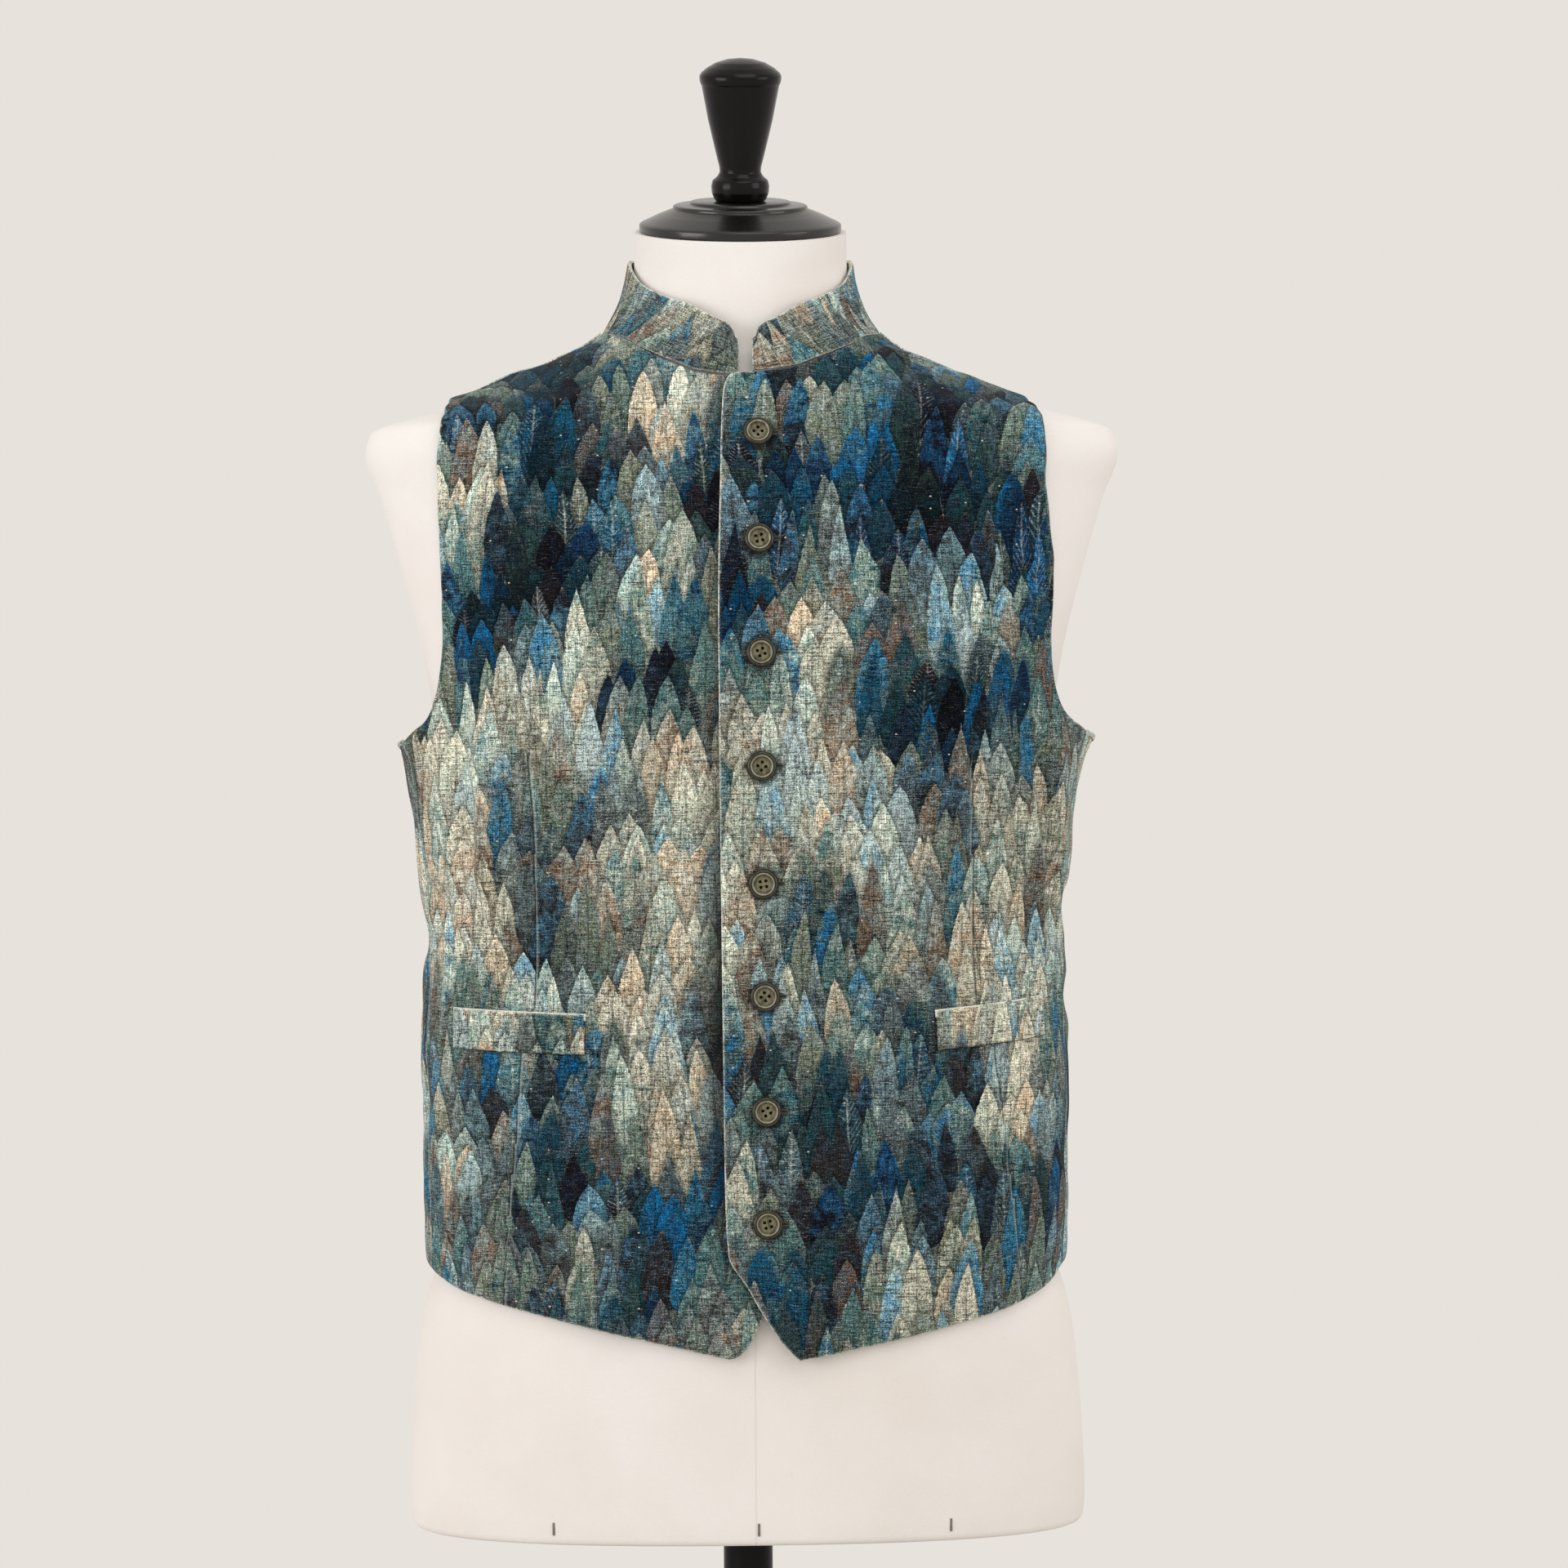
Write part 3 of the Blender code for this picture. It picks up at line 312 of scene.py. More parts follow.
# Turned pieces: radius and height up the axis, from the outside in at the top
NECK_CAP_PROFILE = (
    (0.0000, 0.0185), (0.0300, 0.0185), (0.0310, 0.0178), (0.0312, 0.0168), (0.0400, 0.0164),
    (0.0412, 0.0156), (0.0412, 0.0140), (0.0500, 0.0105), (0.0600, 0.0058), (0.0618, 0.0046),
    (0.0618, 0.0006), (0.0612, 0.0000), (0.0000, 0.0000),
)
FINIAL_PROFILE = (
    (0.0000, 0.0866), (0.0080, 0.0858), (0.0150, 0.0837), (0.0205, 0.0806), (0.0237, 0.0779),
    (0.0249, 0.0761), (0.0250, 0.0744), (0.0247, 0.0722), (0.0243, 0.0710), (0.0239, 0.0705),
    (0.0235, 0.0690), (0.0197, 0.0490), (0.0152, 0.0300), (0.0128, 0.0205), (0.0126, 0.0175),
    (0.0140, 0.0150), (0.0170, 0.0125), (0.0178, 0.0090), (0.0175, 0.0050), (0.0158, 0.0008),
    (0.0150, 0.0000), (0.0000, 0.0000),
)
POLE_RADIUS, POLE_CHAMFER = 0.015, 0.001
FOOT_RADIUS, FOOT_THICKNESS, FOOT_TOP = 0.170, 0.016, 0.042
FOOT_PROFILE = (
    (0.0000, FOOT_TOP), (0.0200, FOOT_TOP), (0.0225, 0.0395), (0.0240, 0.0260), (0.0330, 0.0195),
    (0.0500, 0.0172), (FOOT_RADIUS - 0.0100, FOOT_THICKNESS), (FOOT_RADIUS - 0.0030, 0.0140),
    (FOOT_RADIUS, 0.0100), (FOOT_RADIUS, 0.0025), (FOOT_RADIUS - 0.0020, 0.0000), (0.0000, 0.0000),
)
TURNED_ROUNDING = 0.0006                # a turned piece's inner corners are eased by this much
BUTTON_PROFILE = (
    (0.0000, 0.00175), (0.0030, 0.00185), (0.0047, 0.00215), (0.0056, 0.00275), (0.0061, 0.00325),
    (0.0065, 0.00335), (0.0069, 0.00305), (0.0072, 0.00310), (0.0076, 0.00325), (0.0079, 0.00290),
    (0.0082, 0.00285), (0.0085, 0.00260), (BUTTON_RADIUS, 0.00190), (0.0084, 0.00120),
    (0.0068, 0.00000), (0.0000, 0.00000),
)
PIN_PLACES = (-0.1184, 0.0024, 0.1167)  # x of the three pins above the torso's bottom edge
PIN_HEIGHT, PIN_SIZE, PIN_ROUNDING = 0.0057, (0.0015, 0.0010, 0.0075), 0.0003

CURVE_SAMPLES = 160
EVEN_RING = 0.500           # the height whose ring spaces points evenly round the figure


# ---------------------------------------------------------------- curves and sections
def smooth_steps(knots, values, at):
    """A smooth curve through the knots that never overshoots them (monotone cubic)."""
    knots, values = np.asarray(knots, float), np.asarray(values, float)
    at = np.clip(at, knots[0], knots[-1])
    width = np.diff(knots)
    slope = np.diff(values) / width
    tangent = np.empty_like(values)
    tangent[0], tangent[-1] = slope[0], slope[-1]
    same_way = slope[:-1] * slope[1:] > 0
    safe = np.where(same_way, slope[:-1] * slope[1:], 1.0)
    mean = 2.0 * safe / np.where(same_way, slope[:-1] + slope[1:], 1.0)
    tangent[1:-1] = np.where(same_way, mean, 0.0)
    i = np.clip(np.searchsorted(knots, at, side="right") - 1, 0, len(width) - 1)
    t = (at - knots[i]) / width[i]
    start = (1 + 2 * t) * (1 - t) ** 2 * values[i] + t * (1 - t) ** 2 * width[i] * tangent[i]
    end = t * t * (3 - 2 * t) * values[i + 1] + t * t * (t - 1) * width[i] * tangent[i + 1]
    return start + end


def read(table, at, column=1):
    """One column of a table at the given values of its first column."""
    return smooth_steps([row[0] for row in table], [row[column] for row in table], at)


def ease_between(low, high, value):
    """0 below low, 1 above high and smooth between."""
    share = np.clip((value - low) / (high - low), 0.0, 1.0)
    return share * share * (3 - 2 * share)


def torso_ring(height):
    """Half width, front depth, back depth and squareness of the torso at these heights."""
    return [read(TORSO, height, column) for column in (1, 2, 3, 4)]


def coat_ring(height):
    """The same four sizes for the jacket's outer face."""
    share = ease_between(*COAT_LEAVES_TORSO, height)
    own = [read(COAT, height, column) for column in (1, 2, 3, 4)]
    carried = torso_ring(height - COAT_RISE)
    for size in range(3):
        carried[size] = carried[size] + COAT_EASE
    return [low * (1 - share) + high * share for low, high in zip(own, carried)]


def ring_point(degrees, height, ring):
    """Points of a rounded-rectangle ring: one row of x, y, z for each angle and height."""
    half_width, front, back, squareness = ring
    across, along = np.sin(np.radians(degrees)), np.cos(np.radians(degrees))
    power = 2.0 / squareness
    x = half_width * np.sign(across) * np.abs(across) ** power
    y = -np.sign(along) * np.where(along > 0, front, back) * np.abs(along) ** power
    return np.stack([x, y, height + np.zeros_like(x)], axis=-1)


def coat_face(degrees, height):
    """The jacket's outer face before its folds."""
    return ring_point(degrees, height, coat_ring(height))


def coat_normal(degrees, height):
    """Unit vectors out of that face."""
    step_round, step_up = 0.4, 0.0008
    round_it = coat_face(degrees + step_round, height) - coat_face(degrees - step_round, height)
    up_it = coat_face(degrees, height + step_up) - coat_face(degrees, height - step_up)
    normal = np.cross(round_it, up_it)
    return normal / np.linalg.norm(normal, axis=-1, keepdims=True)


def degrees_at(x, height, behind=False):
    """The angle at which the jacket's ring at this height reaches x."""
    half_width, _, _, squareness = coat_ring(height)
    share = np.clip(np.abs(x) / half_width, 0.0, 1.0) ** (squareness / 2.0)
    degrees = np.degrees(np.arcsin(share)) * np.sign(x)
    return 180.0 - degrees if behind else degrees


def running_length(points, axis=0):
    """Length along rows of points, starting from 0."""
    steps = np.linalg.norm(np.diff(points, axis=axis), axis=-1)
    start = np.zeros_like(np.take(steps, [0], axis=axis))
    return np.concatenate([start, np.cumsum(steps, axis=axis)], axis=axis)


def even_ring():
    """Angles round the figure, and how far round its girth each one lies."""
    degrees = np.linspace(-90.0, 270.0, 8 * CURVE_SAMPLES + 1)
    points = ring_point(degrees, EVEN_RING, torso_ring(np.full_like(degrees, EVEN_RING)))
    return degrees, running_length(points)


RING_DEGREES, RING_RUN = even_ring()


def run_at(degrees):
    """How far round the girth an angle lies."""
    return np.interp(degrees, RING_DEGREES, RING_RUN)


def degrees_at_run(run):
    """The angle that lies so far round the girth."""
    return np.interp(run, RING_RUN, RING_DEGREES)


# ---------------------------------------------------------------- relief of the cloth
def line_on_coat(side, stations, samples=20):
    """A smooth line on the plain coat through (degrees, height) stations."""
    at = np.linspace(0.0, len(stations) - 1.0, samples)
    knots = np.arange(len(stations))
    degrees = smooth_steps(knots, [station[0] for station in stations], at)
    height = smooth_steps(knots, [station[1] for station in stations], at)
    line = coat_face(degrees, height)
    line[:, 0] *= side
    return line


def beside_line(points, line):
    """Distance to a line of points, its sign by the side in x, and how far along it that is."""
    best = np.full(points.shape[:-1], np.inf)
    along = np.zeros(points.shape[:-1])
    sign = np.ones(points.shape[:-1])
    for i in range(len(line) - 1):
        start, run = line[i], line[i + 1] - line[i]
        t = np.clip((points - start) @ run / (run @ run), 0.0, 1.0)
        apart = points - start - t[..., None] * run
        away = np.linalg.norm(apart, axis=-1)
        nearer = away < best
        best = np.where(nearer, away, best)
        sign = np.where(nearer, np.sign(apart[..., 0]), sign)
        along = np.where(nearer, (i + t) / (len(line) - 1), along)
    return best, sign, along


def near_line(points, line, reach):
    """Which points lie in the box that holds a line and what is within reach of it."""
    return np.all((points > line.min(0) - reach) & (points < line.max(0) + reach), axis=-1)


def fold_height(points):
    """How far the folds and creases lift the cloth at these points of the plain face."""
    lift = np.zeros(points.shape[:-1])
    for side, half_width, rise, stations in FOLDS:
        line = line_on_coat(side, stations)
        near = near_line(points, line, 3 * half_width)
        away, _, along = beside_line(points[near], line)
        ends = 1 - FOLD_FADE * (2 * along - 1) ** 4
        lift[near] += rise * np.exp(-((away / half_width) ** 2)) * ends
    return lift


def dart_places(points):
    """Signed distance to the nearest dart's line, and the pucker that its sewing draws."""
    nearest = np.full(points.shape[:-1], 1.0)
    pucker = np.zeros(points.shape[:-1])
    for side, stations in DARTS:
        line = line_on_coat(side, stations, samples=14)
        near = near_line(points, line, 4 * DART_PUCKER_REACH)
        away, sign, along = beside_line(points[near], line)
        nearest[near] = np.where(away < np.abs(nearest[near]), away * sign, nearest[near])
        ends = np.minimum(1.0, DART_FADE * np.minimum(along, 1 - along) + DART_END)
        pucker[near] += DART_PUCKER * ends * np.exp(-((away / DART_PUCKER_REACH) ** 2))
    return nearest, -pucker


def wave_height(points):
    """The low uneven waves that any pressed cloth keeps."""
    lift = np.zeros(points.shape[:-1])
    for number, (length, height, way) in enumerate(WAVES):
        way = np.array(way) / np.linalg.norm(way)
        turns = points @ way[::-1] * 2 * math.pi / (WAVE_BEND_LENGTH * length)
        bend = WAVE_BEND * np.sin(turns + number)
        lift += height * np.sin(points @ way * 2 * math.pi / length + bend + WAVE_SHIFT * number)
    return lift


def lap_height(x):
    """How far the left front is lifted where it lies over the right one."""
    return LAP_RISE * (1 - ease_between(LAP_FULL, LAP_END, x))


def gape_height(points):
    """How far the left front's edge stands away from the front under it between the buttons."""
    buttons = [row[0] for row in BUTTONS]
    between = np.interp(points[..., 2], buttons[::-1], np.arange(len(buttons), dtype=float))
    height = np.clip(points[..., 2], LEFT_EDGE[0][0], NECK_CORNER)
    from_edge = points[..., 0] - read(LEFT_EDGE, height)
    return GAPE * np.sin(math.pi * between) ** 2 * np.exp(-((from_edge / GAPE_REACH) ** 2))


def button_places():
    """The middle of each button's seat on the plain face."""
    height = np.array([row[0] for row in BUTTONS])
    return coat_face(degrees_at(np.array([row[1] for row in BUTTONS]), height), height)


def coat_points(degrees, height, side, lapped=False, out=0.0):
    """Points of the jacket's outer face on one side, with its folds, waves, darts and overlap."""
    degrees, height = np.broadcast_arrays(np.asarray(degrees, float), np.asarray(height, float))
    plain, normal = coat_face(degrees, height), coat_normal(degrees, height)
    lap = lap_height(plain[..., 0]) if lapped else 0.0
    mirror = np.array([side, 1.0, 1.0])
    plain, normal = plain * mirror, normal * mirror
    lift = fold_height(plain) + wave_height(plain) + dart_places(plain)[1] + lap + out
    if lapped:
        lift = lift + gape_height(plain)
        for place in button_places():
            away = np.linalg.norm(plain - place, axis=-1)
            lift = lift - BUTTON_DIMPLE * np.exp(-((away / BUTTON_DIMPLE_REACH) ** 2))
    return plain + normal * lift[..., None], normal


# ---------------------------------------------------------------- the cloth's grain
GRAIN_BREAK = 0.600         # above this height the grain runs straight up from its place here
GRAIN_ANGLES = np.linspace(0.0, 105.0, 211)
GRAIN_HEIGHTS = np.linspace(0.080, GRAIN_BREAK, 53)
GRAIN_X = np.linspace(0.0, 0.215, 44)
GRAIN_RISES = np.linspace(GRAIN_BREAK, 0.735, 1400)
GRAIN_SLANTS = np.linspace(0.38, 0.82, 177)


def slant_of(points, behind):
    """Height plus the way in towards the shoulder seam: it still grows on top of the shoulders."""
    return points[..., 2] + points[..., 1] * (-1.0 if behind else 1.0)


def grain_tables(behind):
    """Arc from the centre by height and angle, and length up the cloth by slant and x."""
    angles = 180.0 - GRAIN_ANGLES if behind else GRAIN_ANGLES
    angles, heights = np.meshgrid(angles, GRAIN_HEIGHTS)
    arcs = running_length(coat_face(angles, heights), axis=1)
    x, heights = np.meshgrid(GRAIN_X, GRAIN_RISES)
    faces = coat_face(degrees_at(x, heights, behind), heights)
    faces[..., 0] = x
    lengths = GRAIN_BREAK + running_length(faces, axis=0)
    slants = np.maximum.accumulate(slant_of(faces, behind), axis=0)
    rises = []
    for slant, length in zip(slants.T, lengths.T):
        short_of = np.minimum(GRAIN_SLANTS - slant[0], 0.0)
        beyond = np.maximum(GRAIN_SLANTS - slant[-1], 0.0)
        rises.append(np.interp(GRAIN_SLANTS, slant, length) + short_of + beyond)
    return arcs, np.stack(rises, axis=1)


def look_up(table, rows, columns, at_row, at_column):
    """A table's value between its rows and columns."""
    i = np.clip((at_row - rows[0]) / (rows[1] - rows[0]), 0.0, len(rows) - 1.001)
    j = np.clip((at_column - columns[0]) / (columns[1] - columns[0]), 0.0, len(columns) - 1.001)
    low_i, low_j = i.astype(int), j.astype(int)
    i, j = i - low_i, j - low_j
    near = table[low_i, low_j] * (1 - j) + table[low_i, low_j + 1] * j
    far = table[low_i + 1, low_j] * (1 - j) + table[low_i + 1, low_j + 1] * j
    return near * (1 - i) + far * i


def grain_of(degrees, height, behind=False):
    """Where points lie along the cloth's weft and warp, measured from the centre line."""
    arcs, rises = grain_tables(behind)
    place = coat_face(degrees, height)
    x = place[..., 0]
    over = height > GRAIN_BREAK
    turned_in = degrees_at(x, np.full_like(height, GRAIN_BREAK), behind)
    angle = np.where(over, turned_in, degrees)
    angle = 180.0 - angle if behind else angle
    arc = look_up(arcs, GRAIN_HEIGHTS, GRAIN_ANGLES, np.minimum(height, GRAIN_BREAK), np.abs(angle))
    rise = look_up(rises, GRAIN_SLANTS, GRAIN_X, slant_of(place, behind), np.abs(x))
    return np.stack([arc * np.where(angle < 0, -1.0, 1.0), np.where(over, rise, height)], axis=-1)


# ---------------------------------------------------------------- edges of the cut pieces
def curve_at(curve, shares):
    """The curve's angles and heights at shares of its length on the cloth."""
    degrees, height = curve
    run = running_length(coat_face(degrees, height))
    return np.interp(shares * run[-1], run, degrees), np.interp(shares * run[-1], run, height)


def curve_through(stations):
    """A smooth dense curve through (degrees, height) stations."""
    degrees, height = (np.array(column, float) for column in zip(*stations))
    run = running_length(coat_face(degrees, height))
    at = np.linspace(0.0, run[-1], CURVE_SAMPLES)
    return smooth_steps(run, degrees, at), smooth_steps(run, height, at)


def share_of(curve, low, high):
    """The stretch of a curve between two shares of its length on the cloth."""
    return curve_at(curve, np.linspace(low, high, 2 * CURVE_SAMPLES))


def front_edge(table):
    """The buttoning edge, from the hem's point up to the neck."""
    height = np.linspace(table[0][0], NECK_CORNER, 4 * CURVE_SAMPLES)
    return degrees_at(read(table, height), height), height


def neck_seam(start, end):
    """The neck seam between two angles."""
    degrees = np.linspace(start, end, CURVE_SAMPLES)
    return degrees, read(NECK_SEAM, degrees)


def hem_corner(degrees):
    """How far the hem rises where it turns round the side."""
    return HEM_CORNER * np.exp(-(((degrees - 90.0) / HEM_CORNER_SPREAD) ** 2))


def side_seam(side, degrees):
    """One side's seam from hem to underarm, at the front's angle or at the back's."""
    height = np.linspace(HEM_SIDE, UNDERARM[side > 0], CURVE_SAMPLES)
    return np.full(CURVE_SAMPLES, degrees), height


def front_armhole(side):
    """A front's armhole from the side seam up to the shoulder point."""
    stations = [(SIDE_SEAM, UNDERARM[side > 0])]
    stations += [(float(degrees_at(row[1 + (side > 0)], row[0])), row[0]) for row in FRONT_ARMHOLE]
    return curve_through(stations + [(90.0, SHOULDER_POINT[side > 0])])


def back_armhole(side):
    """The back's armhole on one side, from the seam, under the arm and up to the shoulder point."""
    underarm = UNDERARM[side > 0]
    stations = [(SIDE_SEAM + SIDE_SEAM_GAP, underarm)]
    stations += [(degrees, underarm + rise) for degrees, rise in BACK_SCOOP]
    for row in BACK_ARMHOLE:
        stations.append((float(degrees_at(row[1 + (side > 0)], row[0], behind=True)), row[0]))
    return curve_through(stations + [(90.0, SHOULDER_POINT[side > 0])])


def shares(count, fine_start=False, fine_end=False):
    """Even shares from 0 to 1, with two closer ones at an end that is a turned edge."""
    close = np.array(TURNED_SHARES) / count
    parts = [np.linspace(0.0, 1.0, count + 1)]
    if fine_start:
        parts.append(close)
    if fine_end:
        parts.append(1.0 - close)
    return np.sort(np.concatenate(parts))


def patch(bands, across):
    """Angles and heights of a cut piece, row by row, between its two side edges.

    Each band is an inner edge, an outer edge and the shares of their lengths where rows lie.
    """
    rows = []
    for inner, outer, up in bands:
        inner_degrees, inner_height = curve_at(inner, up)
        outer_degrees, outer_height = curve_at(outer, up)
        inner_run, outer_run = run_at(inner_degrees), run_at(outer_degrees)
        degrees = degrees_at_run(inner_run[:, None] * (1 - across) + outer_run[:, None] * across)
        height = inner_height[:, None] * (1 - across) + outer_height[:, None] * across
        keep = slice(1 if rows else 0, None)
        rows.append((degrees[keep], height[keep]))
    return np.concatenate([r[0] for r in rows]), np.concatenate([r[1] for r in rows])


# ---------------------------------------------------------------- mesh helpers
def mesh_from(bm, name):
    """A new mesh of what a bmesh holds, which is let go."""
    mesh = bpy.data.meshes.new(name)
    bm.to_mesh(mesh)
    bm.free()
    return mesh


def mesh_as_seen(holder):
    """A new mesh of an object as its modifiers, or its curve's thickness, leave it."""
    bpy.context.view_layer.update()
    seen = holder.evaluated_get(bpy.context.evaluated_depsgraph_get())
    return bpy.data.meshes.new_from_object(seen)


def link(name, mesh, finish):
    """A mesh made an object of the scene, smooth and with its finish."""
    mesh.shade_smooth()
    mesh.materials.append(finish)
    piece = bpy.data.objects.new(name, mesh)
    bpy.context.scene.collection.objects.link(piece)
    return piece


def seat(piece, slot, *nodes):
    """Puts a finished piece on the one body and hides the solids it stands for; slot is not used.
    """
    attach(piece, "root")
    if nodes:
        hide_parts(*nodes)
    return piece


def grid_mesh(name, points):
    """A grid laid over a table of points that run left to right and upwards on the outside."""
    rows, columns = points.shape[:2]
    bm = bmesh.new()
    bmesh.ops.create_grid(bm, x_segments=columns - 1, y_segments=rows - 1, size=1.0)
    bm.verts.ensure_lookup_table()
    for vert, point in zip(bm.verts, points.reshape(-1, 3)):
        vert.co = point
    bm.normal_update()
    sideways = Vector((1.0, 1.0, 0.0))
    facing = sum(
        face.calc_area() * face.normal.dot(face.calc_center_median() * sideways)
        for face in bm.faces
    )
    if facing < 0:
        bmesh.ops.reverse_faces(bm, faces=bm.faces)
    return mesh_from(bm, name)


def join_halves(mesh, columns):
    """Takes out the strip between a grid's two halves and closes them where they meet."""
    bm = bmesh.new()
    bm.from_mesh(mesh)
    inner = {columns - 1, columns}
    strip = [
        face for face in bm.faces
        if {vert.index % (2 * columns) for vert in face.verts} == inner
    ]
    bmesh.ops.delete(bm, geom=strip, context="FACES_ONLY")
    bmesh.ops.remove_doubles(bm, verts=bm.verts, dist=SAME_POINT)
    bm.to_mesh(mesh)
    bm.free()


def edge_distance(points):
    """Distance of each point of a grid to the grid's own border."""
    border = np.concatenate([points[0], points[:, -1], points[-1, ::-1], points[::-1, 0]])
    between = np.linspace(0.0, 1.0, 8, endpoint=False)[None, :, None]
    dense = border[:-1, None] * (1 - between) + border[1:, None] * between
    dense = dense.reshape(-1, 3)
    tree = KDTree(len(dense))
    for i, point in enumerate(dense):
        tree.insert(point, i)
    tree.balance()
    flat = points.reshape(-1, 3)
    return np.array([tree.find(point)[2] for point in flat]).reshape(points.shape[:-1])


def set_values(mesh, name, values):
    """A number for each point of a mesh, for its material to read."""
    made = mesh.attributes.new(name, "FLOAT", "POINT")
    made.data.foreach_set("value", np.ascontiguousarray(values, np.float32).ravel())


def set_grain(mesh, grain, cut_from):
    """The cloth's weft and warp as the mesh's UV map, from where on the roll it was cut."""
    grain = grain + np.array(cut_from)
    corner = np.zeros(len(mesh.loops), np.int32)
    mesh.loops.foreach_get("vertex_index", corner)
    layer = mesh.uv_layers.new(name="grain")
    layer.data.foreach_set("uv", grain.reshape(-1, 2)[corner].astype(np.float32).ravel())


def give_wall(piece, thickness):
    """The wall of a cut piece, inwards from its outside, with soft edges."""
    wall = piece.modifiers.new("wall", "SOLIDIFY")
    wall.thickness = thickness
    wall.offset = -1.0
    soft = piece.modifiers.new("soft_edges", "BEVEL")
    soft.width = EDGE_BEVEL
    soft.segments = 2
    soft.limit_method = "ANGLE"
    soft.angle_limit = SHARP_EDGE


def unshadowed(points):
    """How dark the painted shadow lies at each point of a piece that nothing shades."""
    return np.zeros(points.shape[:-1])


def shadow_round_buttons(points):
    """The same for the left front: a painted shadow round every button."""
    aside, lower = BUTTON_SHADE_SHIFT
    away = [
        np.hypot(points[..., 0] - x - aside, points[..., 2] - height - lower)
        for height, x, _ in BUTTONS
    ]
    beyond = np.clip(np.min(away, axis=0) - BUTTON_RADIUS, 0.0, None)
    return BUTTON_SHADE * np.exp(-((beyond / BUTTON_SHADE_REACH) ** 2))


def shadow_beside_lap(points):
    """The same for the right front: a painted shadow beside the edge that laps over it."""
    height = np.clip(points[..., 2], LEFT_EDGE[0][0], NECK_CORNER)
    beside = read(LEFT_EDGE, height) - points[..., 0]
    gaping = np.exp(-(((height - LAP_SHADOW_MIDDLE) / LAP_SHADOW_REACH) ** 2))
    wide = LAP_SHADOW_WIDTH * (LAP_SHADOW_NARROWEST + (1 - LAP_SHADOW_NARROWEST) * gaping)
    dark = LAP_SHADOW_LEAST + (1 - LAP_SHADOW_LEAST) * gaping
    return dark * np.exp(-((np.clip(beside, 0.0, None) / wide) ** 2))


# Its wear sets how pale its edges are, worn and partly a painted highlight, or below 0 painted
# shade.
def cloth_piece(
    name, points, normal, grain, cut_from, thickness, finish, dart=1.0, paler=0.0, wear=EDGE_WEAR_AND_LIGHT,
    shadow_painter=unshadowed,
):
    """A cut piece with turned edges, its grain, and the values that its finish reads."""
    edge = edge_distance(points)
    points = points - normal * (EDGE_ROLL * np.exp(-edge / EDGE_ROLL_REACH))[..., None]
    mesh = grid_mesh(name, points + np.array([0.0, 0.0, TORSO_LIFT]))
    set_grain(mesh, grain, cut_from)
    set_values(mesh, "paleness", paler + read(PALENESS_BY_HEIGHT, points[..., 2]))
    set_values(mesh, "span", read(SPAN_BY_HEIGHT, points[..., 2]))
    # pale worn edges, partly a painted highlight; below zero, painted shade
    set_values(mesh, "rubbed", wear * np.exp(-((edge / EDGE_WEAR_AND_LIGHT_REACH) ** 2)))
    set_values(mesh, "dart", np.broadcast_to(1000 * dart, edge.shape))
    # painted shadow, which the finish darkens the cloth with
    set_values(mesh, "crushed", shadow_painter(points))
    piece = link(name, mesh, finish)
    give_wall(piece, thickness)
    return piece


# ---------------------------------------------------------------- finishes
class Value:
    """A socket of a finish; sums, products and quotients of these add Math nodes."""

    def __init__(self, finish, socket):
        self.finish, self.socket = finish, socket

    def __add__(self, other):
        return self.finish.math("ADD", self, other)

    def __sub__(self, other):
        return self.finish.math("SUBTRACT", self, other)

    def __rsub__(self, other):
        return self.finish.math("SUBTRACT", other, self)

    def __mul__(self, other):
        return self.finish.math("MULTIPLY", self, other)

    def __truediv__(self, other):
        return self.finish.math("DIVIDE", self, other)

    def __rtruediv__(self, other):
        return self.finish.math("DIVIDE", other, self)

    __radd__, __rmul__ = __add__, __mul__


